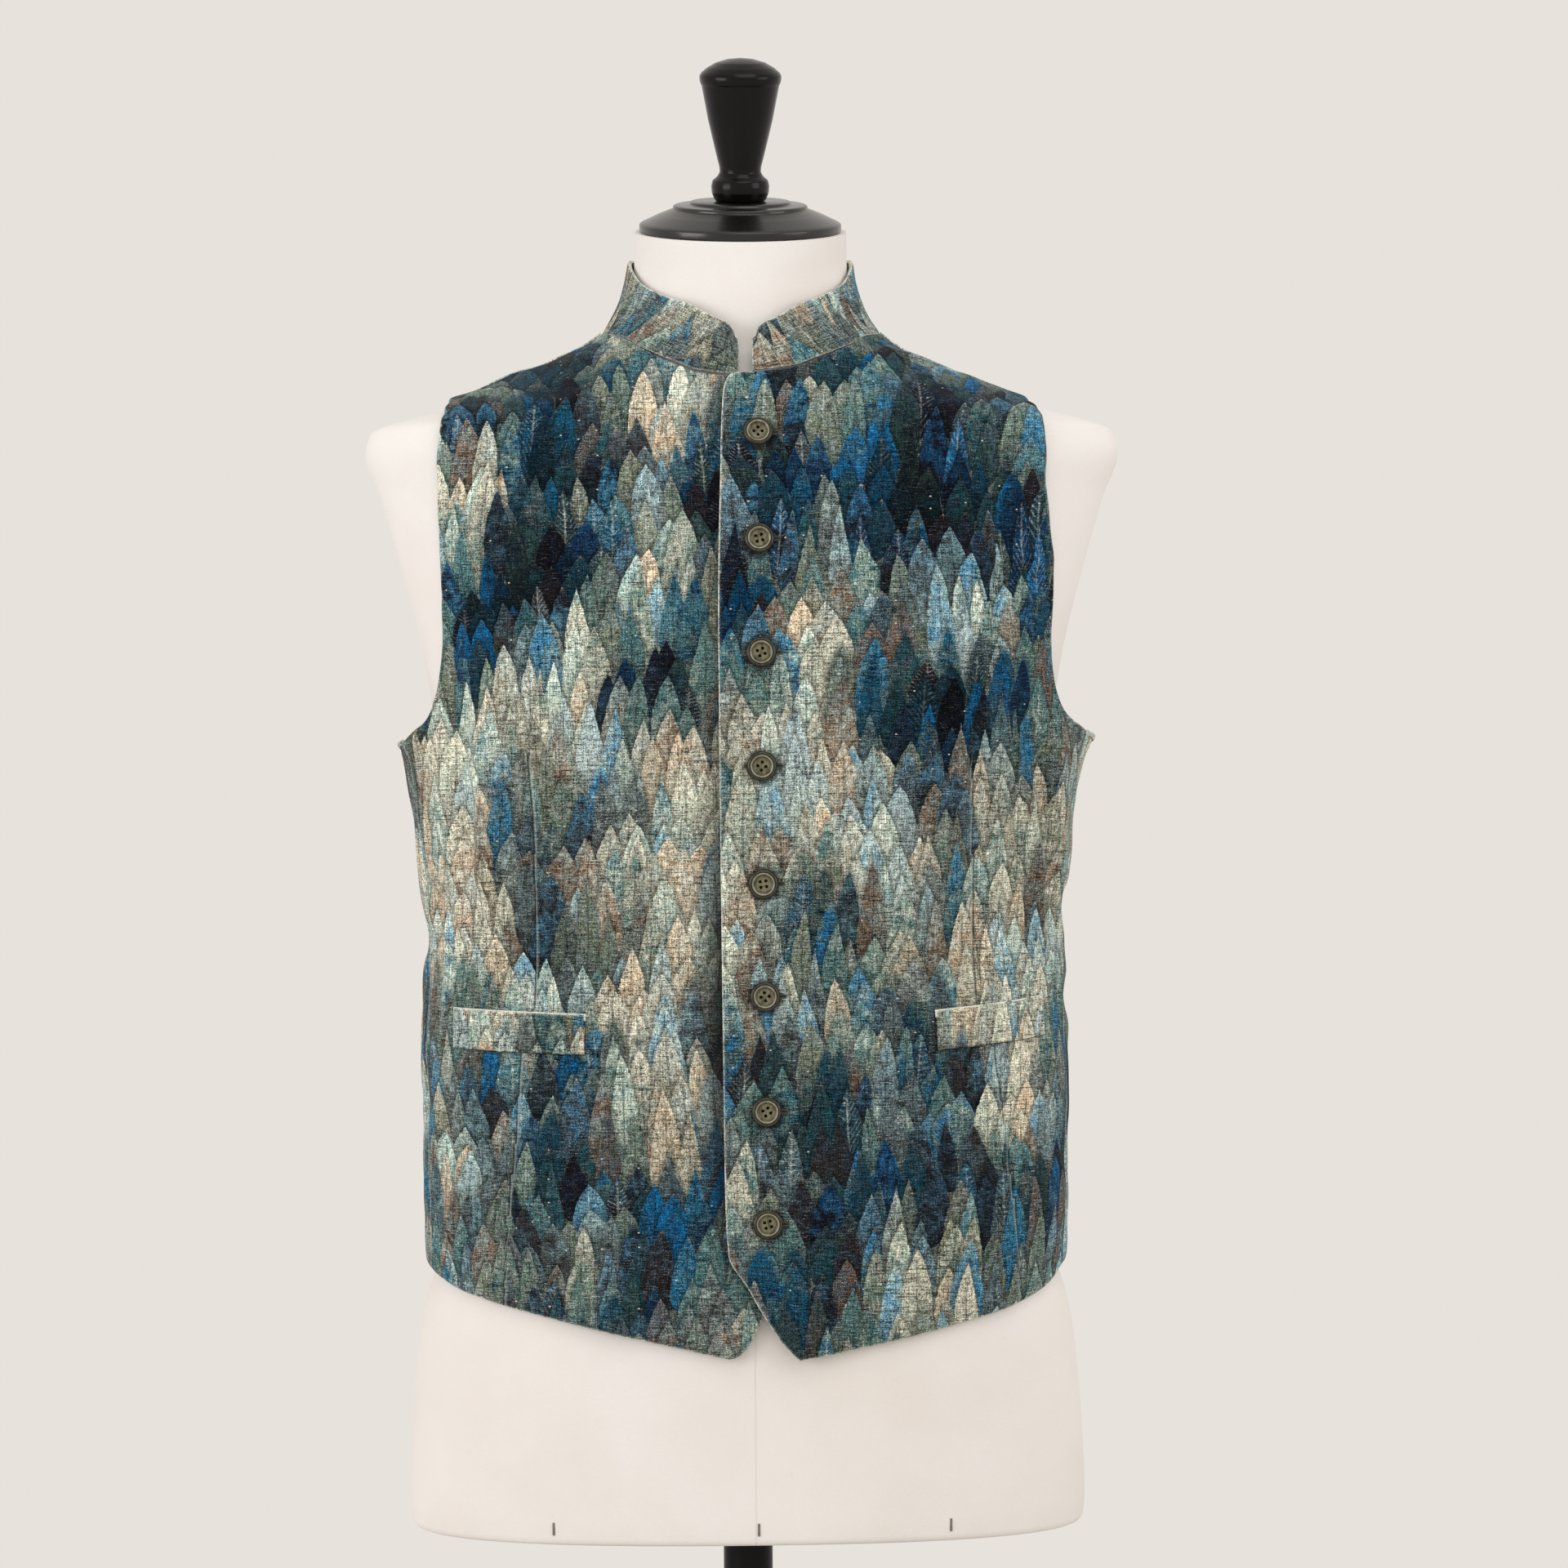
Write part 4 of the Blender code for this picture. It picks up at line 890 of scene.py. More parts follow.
class Finish:
    """One material, and the few ways in which its nodes are made."""

    def __init__(self, name):
        self.material = bpy.data.materials.new(name)
        self.material.use_nodes = True
        self.tree = self.material.node_tree
        self.shader = self.tree.nodes["Principled BSDF"]

    def node(self, kind, settings, sockets):
        """A node with its settings made first and then its sockets' values or links."""
        made = self.tree.nodes.new(kind)
        for key, value in settings.items():
            if key == "stops":
                self.set_stops(made.color_ramp, value)
            elif key == "interpolation":
                made.color_ramp.interpolation = value
            else:
                setattr(made, key, value)
        self.fill(made, sockets)
        return made

    def fill(self, node, sockets):
        """Gives a node's sockets their values or links."""
        for key, value in sockets.items():
            if isinstance(value, Value):
                self.tree.links.new(value.socket, node.inputs[key])
            else:
                node.inputs[key].default_value = value

    def set_stops(self, ramp, stops):
        """Colour ramp stops as (place, colour)."""
        while len(ramp.elements) > 1:
            ramp.elements.remove(ramp.elements[-1])
        for i, (place, colour) in enumerate(stops):
            stop = ramp.elements[0] if i == 0 else ramp.elements.new(place)
            stop.position = place
            stop.color = colour

    def math(self, operation, *values, clamp=False):
        """One operation on numbers."""
        settings = {"operation": operation, "use_clamp": clamp}
        made = self.node("ShaderNodeMath", settings, dict(enumerate(values)))
        return Value(self, made.outputs[0])

    def clamp(self, value):
        """The value kept between 0 and 1."""
        return self.math("ADD", value, 0.0, clamp=True)

    def fraction(self, value):
        """What is left of the value above its whole number."""
        return self.math("FRACT", value)

    def rise(self, value, low, high):
        """0 where the value is below low, 1 above high, smooth between; high may be the lower."""
        sockets = {0: value, 1: low, 2: high, 3: 0.0, 4: 1.0}
        made = self.node("ShaderNodeMapRange", {"interpolation_type": "SMOOTHSTEP"}, sockets)
        return Value(self, made.outputs[0])

    def bell(self, value, width):
        """1 where the value is 0, falling away within a width."""
        share = value / width
        return self.math("EXPONENT", share * share * -1.0)

    def vector(self, x, y, z=0.0):
        """Three numbers as one vector."""
        return Value(self, self.node("ShaderNodeCombineXYZ", {}, {0: x, 1: y, 2: z}).outputs[0])

    def parts(self, vector):
        """The three numbers of a vector."""
        made = self.node("ShaderNodeSeparateXYZ", {}, {0: vector})
        return [Value(self, socket) for socket in made.outputs]

    def scaled(self, vector, factors):
        """A vector with each of its numbers multiplied by its own factor."""
        made = self.node("ShaderNodeVectorMath", {"operation": "MULTIPLY"}, {0: vector, 1: factors})
        return Value(self, made.outputs[0])

    def noise(self, place, size, detail=2.0, roughness=0.5, dimensions="2D", distortion=0.0):
        """Soft noise from 0 to 1 whose features are about this size."""
        sockets = {
            "Vector": place, "Scale": 1.0 / size, "Detail": detail, "Roughness": roughness,
            "Distortion": distortion,
        }
        made = self.node("ShaderNodeTexNoise", {"noise_dimensions": dimensions}, sockets)
        return Value(self, made.outputs[0])

    def mix(self, factor, first, second, blend="MIX"):
        """Two colours mixed."""
        settings = {"data_type": "RGBA", "blend_type": blend}
        made = self.node("ShaderNodeMix", settings, {0: factor, 6: first, 7: second})
        return Value(self, made.outputs[2])

    def mix_places(self, factor, first, second):
        """Two vectors mixed."""
        settings = {"data_type": "VECTOR"}
        made = self.node("ShaderNodeMix", settings, {0: factor, 4: first, 5: second})
        return Value(self, made.outputs[1])

    def grey(self, value):
        """A number as a grey colour."""
        made = self.node("ShaderNodeCombineColor", {}, dict.fromkeys((0, 1, 2), value))
        return Value(self, made.outputs[0])

    def ramp(self, value, stops, interpolation="LINEAR"):
        """The colour at a value from 0 to 1 among (place, colour) stops."""
        settings = {"interpolation": interpolation, "stops": stops}
        return Value(self, self.node("ShaderNodeValToRGB", settings, {0: value}).outputs[0])

    def attribute(self, name):
        """A number that the mesh carries at each of its points."""
        settings = {"attribute_type": "GEOMETRY", "attribute_name": name}
        return Value(self, self.node("ShaderNodeAttribute", settings, {}).outputs["Fac"])

    def grain(self):
        """Places along the cloth's weft and warp, in millimetres."""
        made = self.node("ShaderNodeUVMap", {"uv_map": "grain"}, {})
        return self.scaled(Value(self, made.outputs[0]), (1000.0, 1000.0, 0.0))

    def place(self):
        """Places in the object's own frame, in millimetres."""
        made = self.node("ShaderNodeTexCoord", {}, {})
        return self.scaled(Value(self, made.outputs["Object"]), (1000.0, 1000.0, 1000.0))

    def raised(self, height, strength=1.0):
        """The normal of a surface raised by these heights in millimetres."""
        sockets = {"Height": height, "Distance": 0.001, "Strength": strength}
        return Value(self, self.node("ShaderNodeBump", {}, sockets).outputs[0])

    def finish(self, sockets):
        """Sets the shader's own sockets and gives back the material."""
        self.fill(self.shader, sockets)
        return self.material


def shade(red, green, blue):
    """A screen colour from 0 to 255 as the shader's linear colour."""
    channels = [value / 255.0 for value in (red, green, blue)]
    linear = [c / 12.92 if c <= 0.04045 else ((c + 0.055) / 1.055) ** 2.4 for c in channels]
    return (*linear, 1.0)


def even_stops(*colours):
    """Equal bands of colour for a stepped ramp."""
    return [(i / len(colours), shade(*colour)) for i, colour in enumerate(colours)]


DEEP_SHADES = even_stops(
    (26, 17, 22), (18, 20, 36), (12, 44, 78), (10, 110, 166), (14, 84, 116), (18, 62, 80),
    (30, 76, 84), (42, 66, 62), (46, 34, 30), (20, 15, 21),
)
MIDDLE_SHADES = even_stops(
    (62, 80, 88), (30, 120, 164), (50, 106, 122), (60, 104, 106), (78, 116, 114), (96, 120, 108),
    (110, 118, 98), (112, 88, 70), (78, 86, 88), (62, 76, 88),
)
PALE_SHADES = even_stops(
    (146, 166, 170), (104, 154, 178), (134, 166, 164), (154, 178, 168), (182, 194, 178),
    (192, 194, 176), (204, 182, 152), (178, 154, 128), (150, 148, 132), (138, 154, 148),
)

# The print's sizes in millimetres: its ribs, the rows and columns of its scales, and the scales
RIB_PITCH = 1.04
ROW_PITCH, COLUMN_PITCH = 15.5, 16.0
SCALE_HEIGHT, SCALE_HALF_WIDTH = (33.0, 57.0), (7.0, 12.0)
LEAN_ACROSS, LEAN_ALONG = (80.0, 9.0), (60.0, 30.0)     # it leans: over what length, and how far
CLUSTER, FAMILY = 70.0, 48.0                # how far scales are alike in paleness, and in hue
APART_ACROSS, APART_ALONG = 431.0, 913.0    # shifts that keep one noise from repeating another

ROWS_DEEP = 4                               # how many rows of scales can lie over one another
UNEVEN_ACROSS, UNEVEN_ALONG = 0.4, 0.5      # how unevenly they stand, as shares of the pitches
SCALE_OUTLINE = 2.6                         # makes (1 - up) * sqrt(up) reach 1 at its widest


def scale_height(form):
    """How tall a scale is, by its own random number."""
    short, tall = SCALE_HEIGHT
    return form * (tall - short) + short


def scale_in_cell(finish, cell, across, along):
    """One scale of the print, at distances from the middle of its cell's lower edge.

    Gives its three random numbers, the place inside it (across from its middle and up from its
    base) and how far in from its outline that place lies. Its own shift and width come from the
    later digits of those numbers.
    """
    dice = finish.node("ShaderNodeTexWhiteNoise", {"noise_dimensions": "2D"}, {"Vector": cell})
    dice = Value(finish, dice.outputs["Color"])
    first, second, form = finish.parts(dice)
    x = across - (finish.fraction(first * 91.7) - 0.5) * (UNEVEN_ACROSS * COLUMN_PITCH)
    y = along - (finish.fraction(second * 57.3) - 0.5) * (UNEVEN_ALONG * ROW_PITCH)
    up = y / scale_height(form)
    narrow, wide = (SCALE_OUTLINE * half_width for half_width in SCALE_HALF_WIDTH)
    widest = finish.fraction(form * 31.3) * (wide - narrow) + narrow
    half = widest * (1.0 - up) * finish.math("SQRT", up)
    return dice, x, y, half - finish.math("ABSOLUTE", x)


def pointed_scales(finish, across, along, wobble):
    """The print's layout: rows of pointed scales, each row's tips lying over the row above.

    Gives three random numbers for the scale at each place, the place inside that scale (across
    from its middle and up from its base), and the shadow on it.
    """
    lowest = finish.math("FLOOR", along / ROW_PITCH)
    random, inside, shadow = (0.5, 0.5, 0.5), (0.0, 0.0, 0.0), 0.0
    for back in range(ROWS_DEEP):
        row = lowest - float(back)
        shift = finish.node("ShaderNodeTexWhiteNoise", {"noise_dimensions": "1D"}, {"W": row})
        places = across / COLUMN_PITCH + Value(finish, shift.outputs["Value"])
        column = finish.math("FLOOR", places)
        for step in (0.0, 1.0):
            centre = column + step
            dice, x, y, depth = scale_in_cell(
                finish, finish.vector(centre, row), (places - centre) * COLUMN_PITCH,
                along - row * ROW_PITCH,
            )
            depth = depth + wobble
            covers = finish.clamp(depth * 1.8)
            random = finish.mix_places(covers, random, dice)
            inside = finish.mix_places(covers, inside, finish.vector(x, y))
            beside = finish.math("MAXIMUM", shadow, finish.rise(depth, -3.4, 0.0))
            shadow = beside * (1.0 - covers)
    return finish.parts(random), finish.parts(inside)[:2], shadow


def scale_colours(finish, paleness, hue, wash):
    """The print's colour at a paleness and hue, where wash from 0 to 1 lets in a second hue."""
    sets = []
    for stops in (DEEP_SHADES, MIDDLE_SHADES, PALE_SHADES):
        main = finish.ramp(hue, stops, "CONSTANT")
        other = finish.ramp(finish.fraction(hue + 0.18), stops, "CONSTANT")
        sets.append(finish.mix(wash, main, other))
    is_middle = finish.rise(paleness, 0.24, 0.40)
    is_pale = finish.rise(paleness, 0.56, 0.80)
    return finish.mix(is_pale, finish.mix(is_middle, sets[0], sets[1]), sets[2])


class Velvet(Finish):
    """Short-pile velvet with fine weft ribs and a printed design of pointed scales."""

    def __init__(self, name):
        super().__init__(name)
        self.cloth = self.grain()
        self.ragged = self.noise(self.cloth, 5.0, 3.0, 0.6)
        self.mottle = self.noise(self.cloth, 3.0, 3.0, 0.72)
        self.washed = self.noise(self.cloth, 12.0, 5.0, 0.68, distortion=0.4)
        self.dart = self.attribute("dart")
        # the groove beside each dart: sunk in the relief and painted in shade in the colour
        self.sunk = self.bell(self.dart - 0.2, 0.6)
        self.mark_weft()
        self.lay_scales()

    def mark_weft(self):
        """Ribs along the weft, the streaks and slubs in them, and specks of uneven pile."""
        _, along, _ = self.parts(self.cloth)
        self.streaks = self.noise(self.scaled(self.cloth, (0.10, 1.0, 0.0)), 0.7, 2.0, 0.65)
        self.specks = self.noise(self.cloth, 0.75, 1.0, 0.7)
        slubs = self.noise(self.scaled(self.cloth, (0.04, 1.0, 0.0)), 1.7, 1.0)
        self.ribs = self.math("SINE", along * (2 * math.pi / RIB_PITCH) + (slubs - 0.5) * 11.0)
        worn = self.noise(self.cloth, 34.0, 2.0, 0.6)
        self.slub_lines = self.rise(slubs, 0.53, 0.62) * self.rise(worn, 0.36, 0.60)

    def lay_scales(self):
        """The scale at each place, and how pale it is, much like its neighbours."""
        across, along, _ = self.parts(self.cloth)
        (length_across, far_across), (length_along, far_along) = LEAN_ACROSS, LEAN_ALONG
        lean_across = self.noise(self.cloth, length_across, 0.0)
        lean_along = self.noise(self.vector(across + APART_ACROSS, along), length_along, 0.0)
        across = across + (lean_across - 0.5) * far_across
        along = along + (lean_along - 0.5) * far_along
        dice, inside, self.shadow = pointed_scales(
            self, across, along, (self.ragged - 0.5) * 1.8 - 0.6
        )
        own_hue, self.tone, self.form = dice
        self.x, self.y = inside
        self.up = self.y / scale_height(self.form)
        base_x, base_y = across - self.x, along - self.y
        clusters = self.noise(self.vector(base_x, base_y), CLUSTER, 1.0)
        families = self.noise(self.vector(base_x, base_y + APART_ALONG), FAMILY, 1.0)
        self.hue = self.fraction(families * 2.4 + own_hue * 0.42 + 0.3)
        self.spread = (clusters - 0.5) * self.attribute("span")
        self.region = self.attribute("paleness") + self.spread
        self.paleness = self.region + (self.tone - 0.5) * 0.34 + (self.washed - 0.5) * 0.5

    def dyed(self):
        """The colour of each scale, washed into a second hue and faded into those around it."""
        wash = self.rise(self.washed + (self.up - 0.5) * 0.15, 0.42, 0.60) * 0.5
        colour = scale_colours(self, self.paleness, self.hue, wash)
        around = self.ramp(self.region, [
            (0.10, shade(16, 32, 50)), (0.35, shade(48, 76, 88)), (0.62, shade(110, 124, 118)),
            (0.90, shade(156, 160, 148)),
        ])
        faded = self.rise(self.washed, 0.36, 0.64) * 0.42 + 0.17
        return self.mix(faded, colour, around)

    def drawn(self, colour):
        """Inside each scale: a midline and fine hatching in dark or light ink, and a light tip."""
        off_middle = self.math("ABSOLUTE", self.x)
        midline = self.bell(off_middle, 0.56) * self.rise(self.up, 0.97, 0.7)
        slope = self.form * 0.9 + 0.5
        hatch = self.fraction((self.y - off_middle * slope) / (self.form * 1.8 + 2.6))
        hatch = self.bell(hatch - 0.5, 0.14) * self.rise(self.ragged, 0.38, 0.52)
        inked = self.clamp(midline * 0.76 + hatch * 0.58)
        light_ink = self.rise(self.fraction(self.tone * 13.7), 0.80, 0.82)
        ink = self.mix(light_ink, shade(24, 34, 42), shade(150, 158, 150))
        colour = self.mix(inked * (self.mottle + 0.15), colour, ink)
        tip = self.rise(self.up, 0.88, 0.99) * self.rise(self.fraction(self.tone * 7.9), 0.4, 0.6)
        return self.mix(tip * 0.4, colour, shade(190, 176, 148))

    def woven(self, colour):
        """Scales darker at their base and beside the next, all mottled and broken by the weave."""
        shading = self.rise(self.up, -0.15, 0.8) * 0.55 + 0.62
        shading = shading * (1.0 - self.shadow * 0.42)
        shading = shading * (self.mottle * 2.2 - 0.08) * (self.washed * 1.1 + 0.45)
        shading = shading * (self.spread * 0.7 + 1.02)
        shading = shading * (1.0 - self.rise(self.region, 0.02, -0.30) * 0.58)
        warps = self.noise(self.scaled(self.cloth, (1.0, 0.10, 0.0)), 0.8, 1.0, 0.6)
        weave = self.ribs * 0.19 + (self.streaks - 0.5) * 2.5 + (self.specks - 0.5) * 2.7
        weave = weave - self.slub_lines * 0.34 + (warps - 0.5) * 1.7
        shading = shading * self.math("MAXIMUM", 1.0 + weave, 0.12)
        return self.mix(1.0, colour, self.grey(shading), "MULTIPLY")

    def worn(self, colour):
        """Pale ground that shows through thin pile, and flecks caught in it."""
        thin = self.streaks + (self.specks - 0.5) * 0.9 + (self.paleness - 0.5) * 0.10
        bare = self.rise(thin, 0.64, 0.80) * (self.rise(self.paleness, 0.1, 0.6) * 0.34 + 0.16)
        colour = self.mix(bare, colour, shade(184, 186, 172))
        cells = self.node("ShaderNodeTexVoronoi", {"voronoi_dimensions": "2D"}, {
            "Vector": self.scaled(self.cloth, (0.6, 1.0, 0.0)), "Scale": 1.0 / 6.5,
        })
        lucky = self.parts(Value(self, cells.outputs["Color"]))[0]
        fleck = self.rise(Value(self, cells.outputs["Distance"]), 0.075, 0.04)
        fleck = fleck * self.rise(lucky, 0.93, 0.95)
        return self.mix(fleck * 0.8, colour, shade(222, 216, 200))

    def worn_edges_and_painted_light(self, colour):
        """Pale edges, worn and partly a painted highlight; painted shade and highlight at welts and
        darts; painted shadow by buttons and lap.
        """
        patchy = self.rise(self.specks + (self.ragged - 0.5) * 1.2, 0.28, 0.62) * 0.9 + 0.3
        rubbed = self.attribute("rubbed") * patchy
        # pale worn edges, partly a painted highlight
        colour = self.mix(self.clamp(rubbed * 1.3), colour, shade(222, 224, 212))
        # painted shade where the value is below zero: the welts below their tops
        colour = self.mix(self.clamp(rubbed * -1.2), colour, shade(16, 20, 24))
        # a painted highlight on one side of each dart's seam
        dart_highlight = self.bell(self.dart + 1.0, 0.8) * (self.streaks * 0.7)
        colour = self.mix(self.clamp(dart_highlight), colour, shade(176, 188, 182))
        # painted shadow in the groove on the dart's other side
        colour = self.mix(self.sunk * 0.75, colour, shade(16, 18, 24))
        # painted shadow round the buttons and beside the lap
        return self.mix(self.attribute("crushed") * 0.92, colour, shade(20, 17, 18))

    def relief(self):
        """Heights in millimetres of the ribs, the uneven pile and the seams of the darts."""
        height = self.ribs * 0.03 + (self.streaks - 0.5) * 0.22 + (self.specks - 0.5) * 0.14
        height = height + (self.mottle - 0.5) * 0.11 - self.slub_lines * 0.06
        return height + self.bell(self.dart + 1.1, 1.0) * 0.28 - self.sunk * 0.45


def printed_velvet():
    """The jacket's cloth, from its dye and print to its weave and wear, with painted light and
    shade.
    """
    velvet = Velvet("printed_velvet")
    colour = velvet.woven(velvet.drawn(velvet.dyed()))
    colour = velvet.worn_edges_and_painted_light(velvet.worn(colour))
    return velvet.finish({
        "Base Color": colour, "Roughness": 0.82 - velvet.streaks * 0.15,
        "Normal": velvet.raised(velvet.relief(), 0.9), "Specular IOR Level": 0.05,
        "Sheen Weight": 0.05, "Sheen Roughness": 0.42, "Sheen Tint": shade(200, 214, 220),
    })


def form_canvas():
    """Pale cotton canvas stretched over the form, with faint seams and a little soiling."""
    finish = Finish("form_canvas")
    place = finish.place()
    x, y, z = finish.parts(place)
    cloudy = finish.noise(place, 120.0, 3.0, 0.6, "3D")
    soiled = finish.noise(place, 9.0, 4.0, 0.7, "3D")
    threads = finish.noise(finish.scaled(place, (1.0, 1.0, 0.25)), 0.45, 1.0, 0.6, "3D")
    level = finish.noise(finish.scaled(place, (0.2, 0.2, 1.0)), 0.5, 1.0, 0.6, "3D")
    weave = threads + level
    colour = finish.mix(finish.rise(cloudy, 0.35, 0.70), shade(232, 229, 227), shade(226, 221, 217))
    colour = finish.mix(finish.rise(soiled, 0.66, 0.80) * 0.25, colour, shade(196, 180, 160))
    seam = finish.bell(x - 1.0, 0.5) * finish.rise(y, 0.0, -20.0) * finish.rise(z, 900.0, 860.0)
    colour = finish.mix(seam * 0.12, colour, shade(150, 134, 116))
    colour = finish.mix((weave - 0.85) * 0.12, colour, shade(176, 164, 148))
    height = (weave - 1.0) * 0.10 + (soiled - 0.5) * 0.12 - seam * 0.35
    return finish.finish({
        "Base Color": colour, "Roughness": 0.86, "Normal": finish.raised(height, 0.6),
        "Specular IOR Level": 0.25, "Sheen Weight": 0.12, "Sheen Roughness": 0.5,
    })


def black_lacquer(name, roughness, wear, shine=0.5):
    """Black lacquer with faint brush lines, specks of dust and gloss that varies with both."""
    finish = Finish(name)
    place = finish.place()
    dust = finish.noise(place, 1.4, 3.0, 0.7, "3D")
    lines = finish.noise(finish.scaled(place, (0.15, 0.15, 1.0)), 0.8, 2.0, 0.6, "3D")
    colour = finish.mix(finish.rise(dust, 0.55, 0.9), shade(9, 7, 6), shade(30, 27, 24))
    gloss = roughness + (lines - 0.5) * wear + finish.rise(dust, 0.5, 0.85) * wear
    return finish.finish({
        "Base Color": colour, "Roughness": gloss, "Normal": finish.raised(lines * 0.05, 0.5),
        "Specular IOR Level": shine, "Coat Weight": shine * 0.4, "Coat Roughness": 0.12,
    })


def horn():
    """Polished olive-brown horn with cloudy streaks, darker in its groove and outer rim, with
    painted shade at the lip's foot and in the holes and a painted highlight on the lip.
    """
    finish = Finish("olive_horn")
    place = finish.place()
    cloud = finish.noise(finish.scaled(place, (1.0, 1.0, 0.35)), 3.2, 4.0, 0.62, "3D", 0.8)
    fine = finish.noise(place, 0.8, 2.0, 0.6, "3D")
    colour = finish.ramp(cloud, [
        (0.30, shade(60, 58, 43)), (0.45, shade(92, 89, 67)), (0.56, shade(120, 116, 88)),
        (0.70, shade(80, 76, 57)),
    ])
    ring = finish.attribute("ring")
    # painted shade at the foot of the lip; darker in the groove and over the outer rim
    shaded = finish.bell(ring - 5.2, 0.7) * 0.62 + finish.bell(ring - 6.95, 0.30) * 0.92
    shaded = shaded + finish.rise(ring, 6.9, 7.3) * 0.66 + finish.rise(ring, 7.9, 8.3) * 0.26
    colour = finish.mix(finish.clamp(shaded), colour, shade(14, 13, 10))
    # painted highlight on the lip, broken by the cloud
    lip_highlight = finish.bell(ring - 6.2, 0.28) * (cloud * 1.8 - 0.15)
    colour = finish.mix(lip_highlight, colour, shade(164, 162, 142))
    # painted shade inside the drilled holes
    in_hole = finish.rise(finish.attribute("to_hole"), 0.35, 0.05)
    colour = finish.mix(in_hole, colour, shade(6, 5, 4))
    return finish.finish({
        "Base Color": colour, "Roughness": 0.22 + fine * 0.14,
        "Normal": finish.raised(fine * 0.03, 0.5), "Specular IOR Level": 0.24,
        "Coat Weight": 0.08, "Coat Roughness": 0.10,
    })


def thread(name, colour):
    """Twisted thread laid in close stitches, painted lighter along its twist and darker between."""
    finish = Finish(name)
    place = finish.place()
    x, _, z = finish.parts(place)
    twist = finish.math("SINE", x * (2 * math.pi / 0.55) + z * 3.0)
    fuzz = finish.noise(place, 0.35, 2.0, 0.6, "3D")
    # painted light and shade: each stitch lighter along its twist, darker between
    lit = finish.rise(twist + fuzz, -0.4, 1.4)
    shaded = finish.mix(lit, shade(*[channel * 0.45 for channel in colour]), shade(*colour))
    return finish.finish({
        "Base Color": shaded, "Roughness": 0.75, "Normal": finish.raised(twist * 0.08, 0.8),
        "Sheen Weight": 0.2,
    })


def steel():
    """Dull nickel of the pins, a little tarnished."""
    finish = Finish("dull_nickel")
    tarnish = finish.noise(finish.place(), 0.8, 3.0, 0.6, "3D")
    colour = finish.mix(tarnish, shade(60, 56, 52), shade(170, 166, 160))
    return finish.finish({"Base Color": colour, "Metallic": 0.9, "Roughness": 0.30 + tarnish * 0.3})


# ---------------------------------------------------------------- dress form
def closed_loft(name, rings):
    """A closed body from rings of points, with flat ends."""
    rings = np.concatenate([rings, rings[:, :1]], axis=1)
    mesh = grid_mesh(name, rings)
    bm = bmesh.new()
    bm.from_mesh(mesh)
    bmesh.ops.remove_doubles(bm, verts=bm.verts, dist=SAME_CORNER)
    bmesh.ops.holes_fill(bm, edges=[edge for edge in bm.edges if edge.is_boundary], sides=0)
    bmesh.ops.recalc_face_normals(bm, faces=bm.faces)
    bm.to_mesh(mesh)
    bm.free()
    return mesh


def build_torso(finish):
    """The form's torso, shoulder ends and neck, cut off by the tilted plane under its cap."""
    heights, low = [], TORSO[0][0]
    for high, count in TORSO_RINGS:
        heights.append(np.linspace(low, high, count, endpoint=high == TORSO_TOP))
        low = high
    degrees = degrees_at_run(np.linspace(0.0, RING_RUN[-1], TORSO_COLUMNS, endpoint=False))
    degrees, heights = np.meshgrid(degrees, np.concatenate(heights))
    points = ring_point(degrees, heights, torso_ring(heights))
    tilt = ease_between(TILT_BEGINS, TORSO_TOP, heights) * math.tan(NECK_TILT)
    points[..., 2] += points[..., 1] * tilt + TORSO_LIFT
    piece = link("form_body", closed_loft("form_body", points), finish)
    piece.data.set_sharp_from_angle(angle=SHARP_EDGE)
    return seat(piece, "canvas", "form_torso")


def spun(profile, steps, rounding=0.0):
    """A closed body as a bmesh: a profile spun once round the axis, its inner corners eased."""
    bm = bmesh.new()
    chain = [bm.verts.new((radius, 0.0, height)) for radius, height in profile]
    for pair in zip(chain, chain[1:]):
        bm.edges.new(pair)
    if rounding:
        bmesh.ops.bevel(
            bm, geom=chain[2:-2], offset=rounding, offset_type="OFFSET", segments=3, profile=0.5,
            affect="VERTICES", material=-1,
        )
    bmesh.ops.spin(
        bm, geom=bm.verts[:] + bm.edges[:], axis=(0, 0, 1), cent=(0, 0, 0), steps=steps,
        angle=2 * math.pi, use_merge=True,
    )
    bmesh.ops.remove_doubles(bm, verts=bm.verts, dist=SAME_CORNER)
    bmesh.ops.recalc_face_normals(bm, faces=bm.faces)
    return bm


def turned(name, profile, steps, finish, place, slot, node):
    """A turned piece put in its place."""
    bm = spun(profile, steps, TURNED_ROUNDING)
    bmesh.ops.transform(bm, matrix=place, verts=bm.verts)
    piece = link(name, mesh_from(bm, name), finish)
    piece.data.set_sharp_from_angle(angle=SHARP_TURNED_EDGE)
    return seat(piece, slot, node)


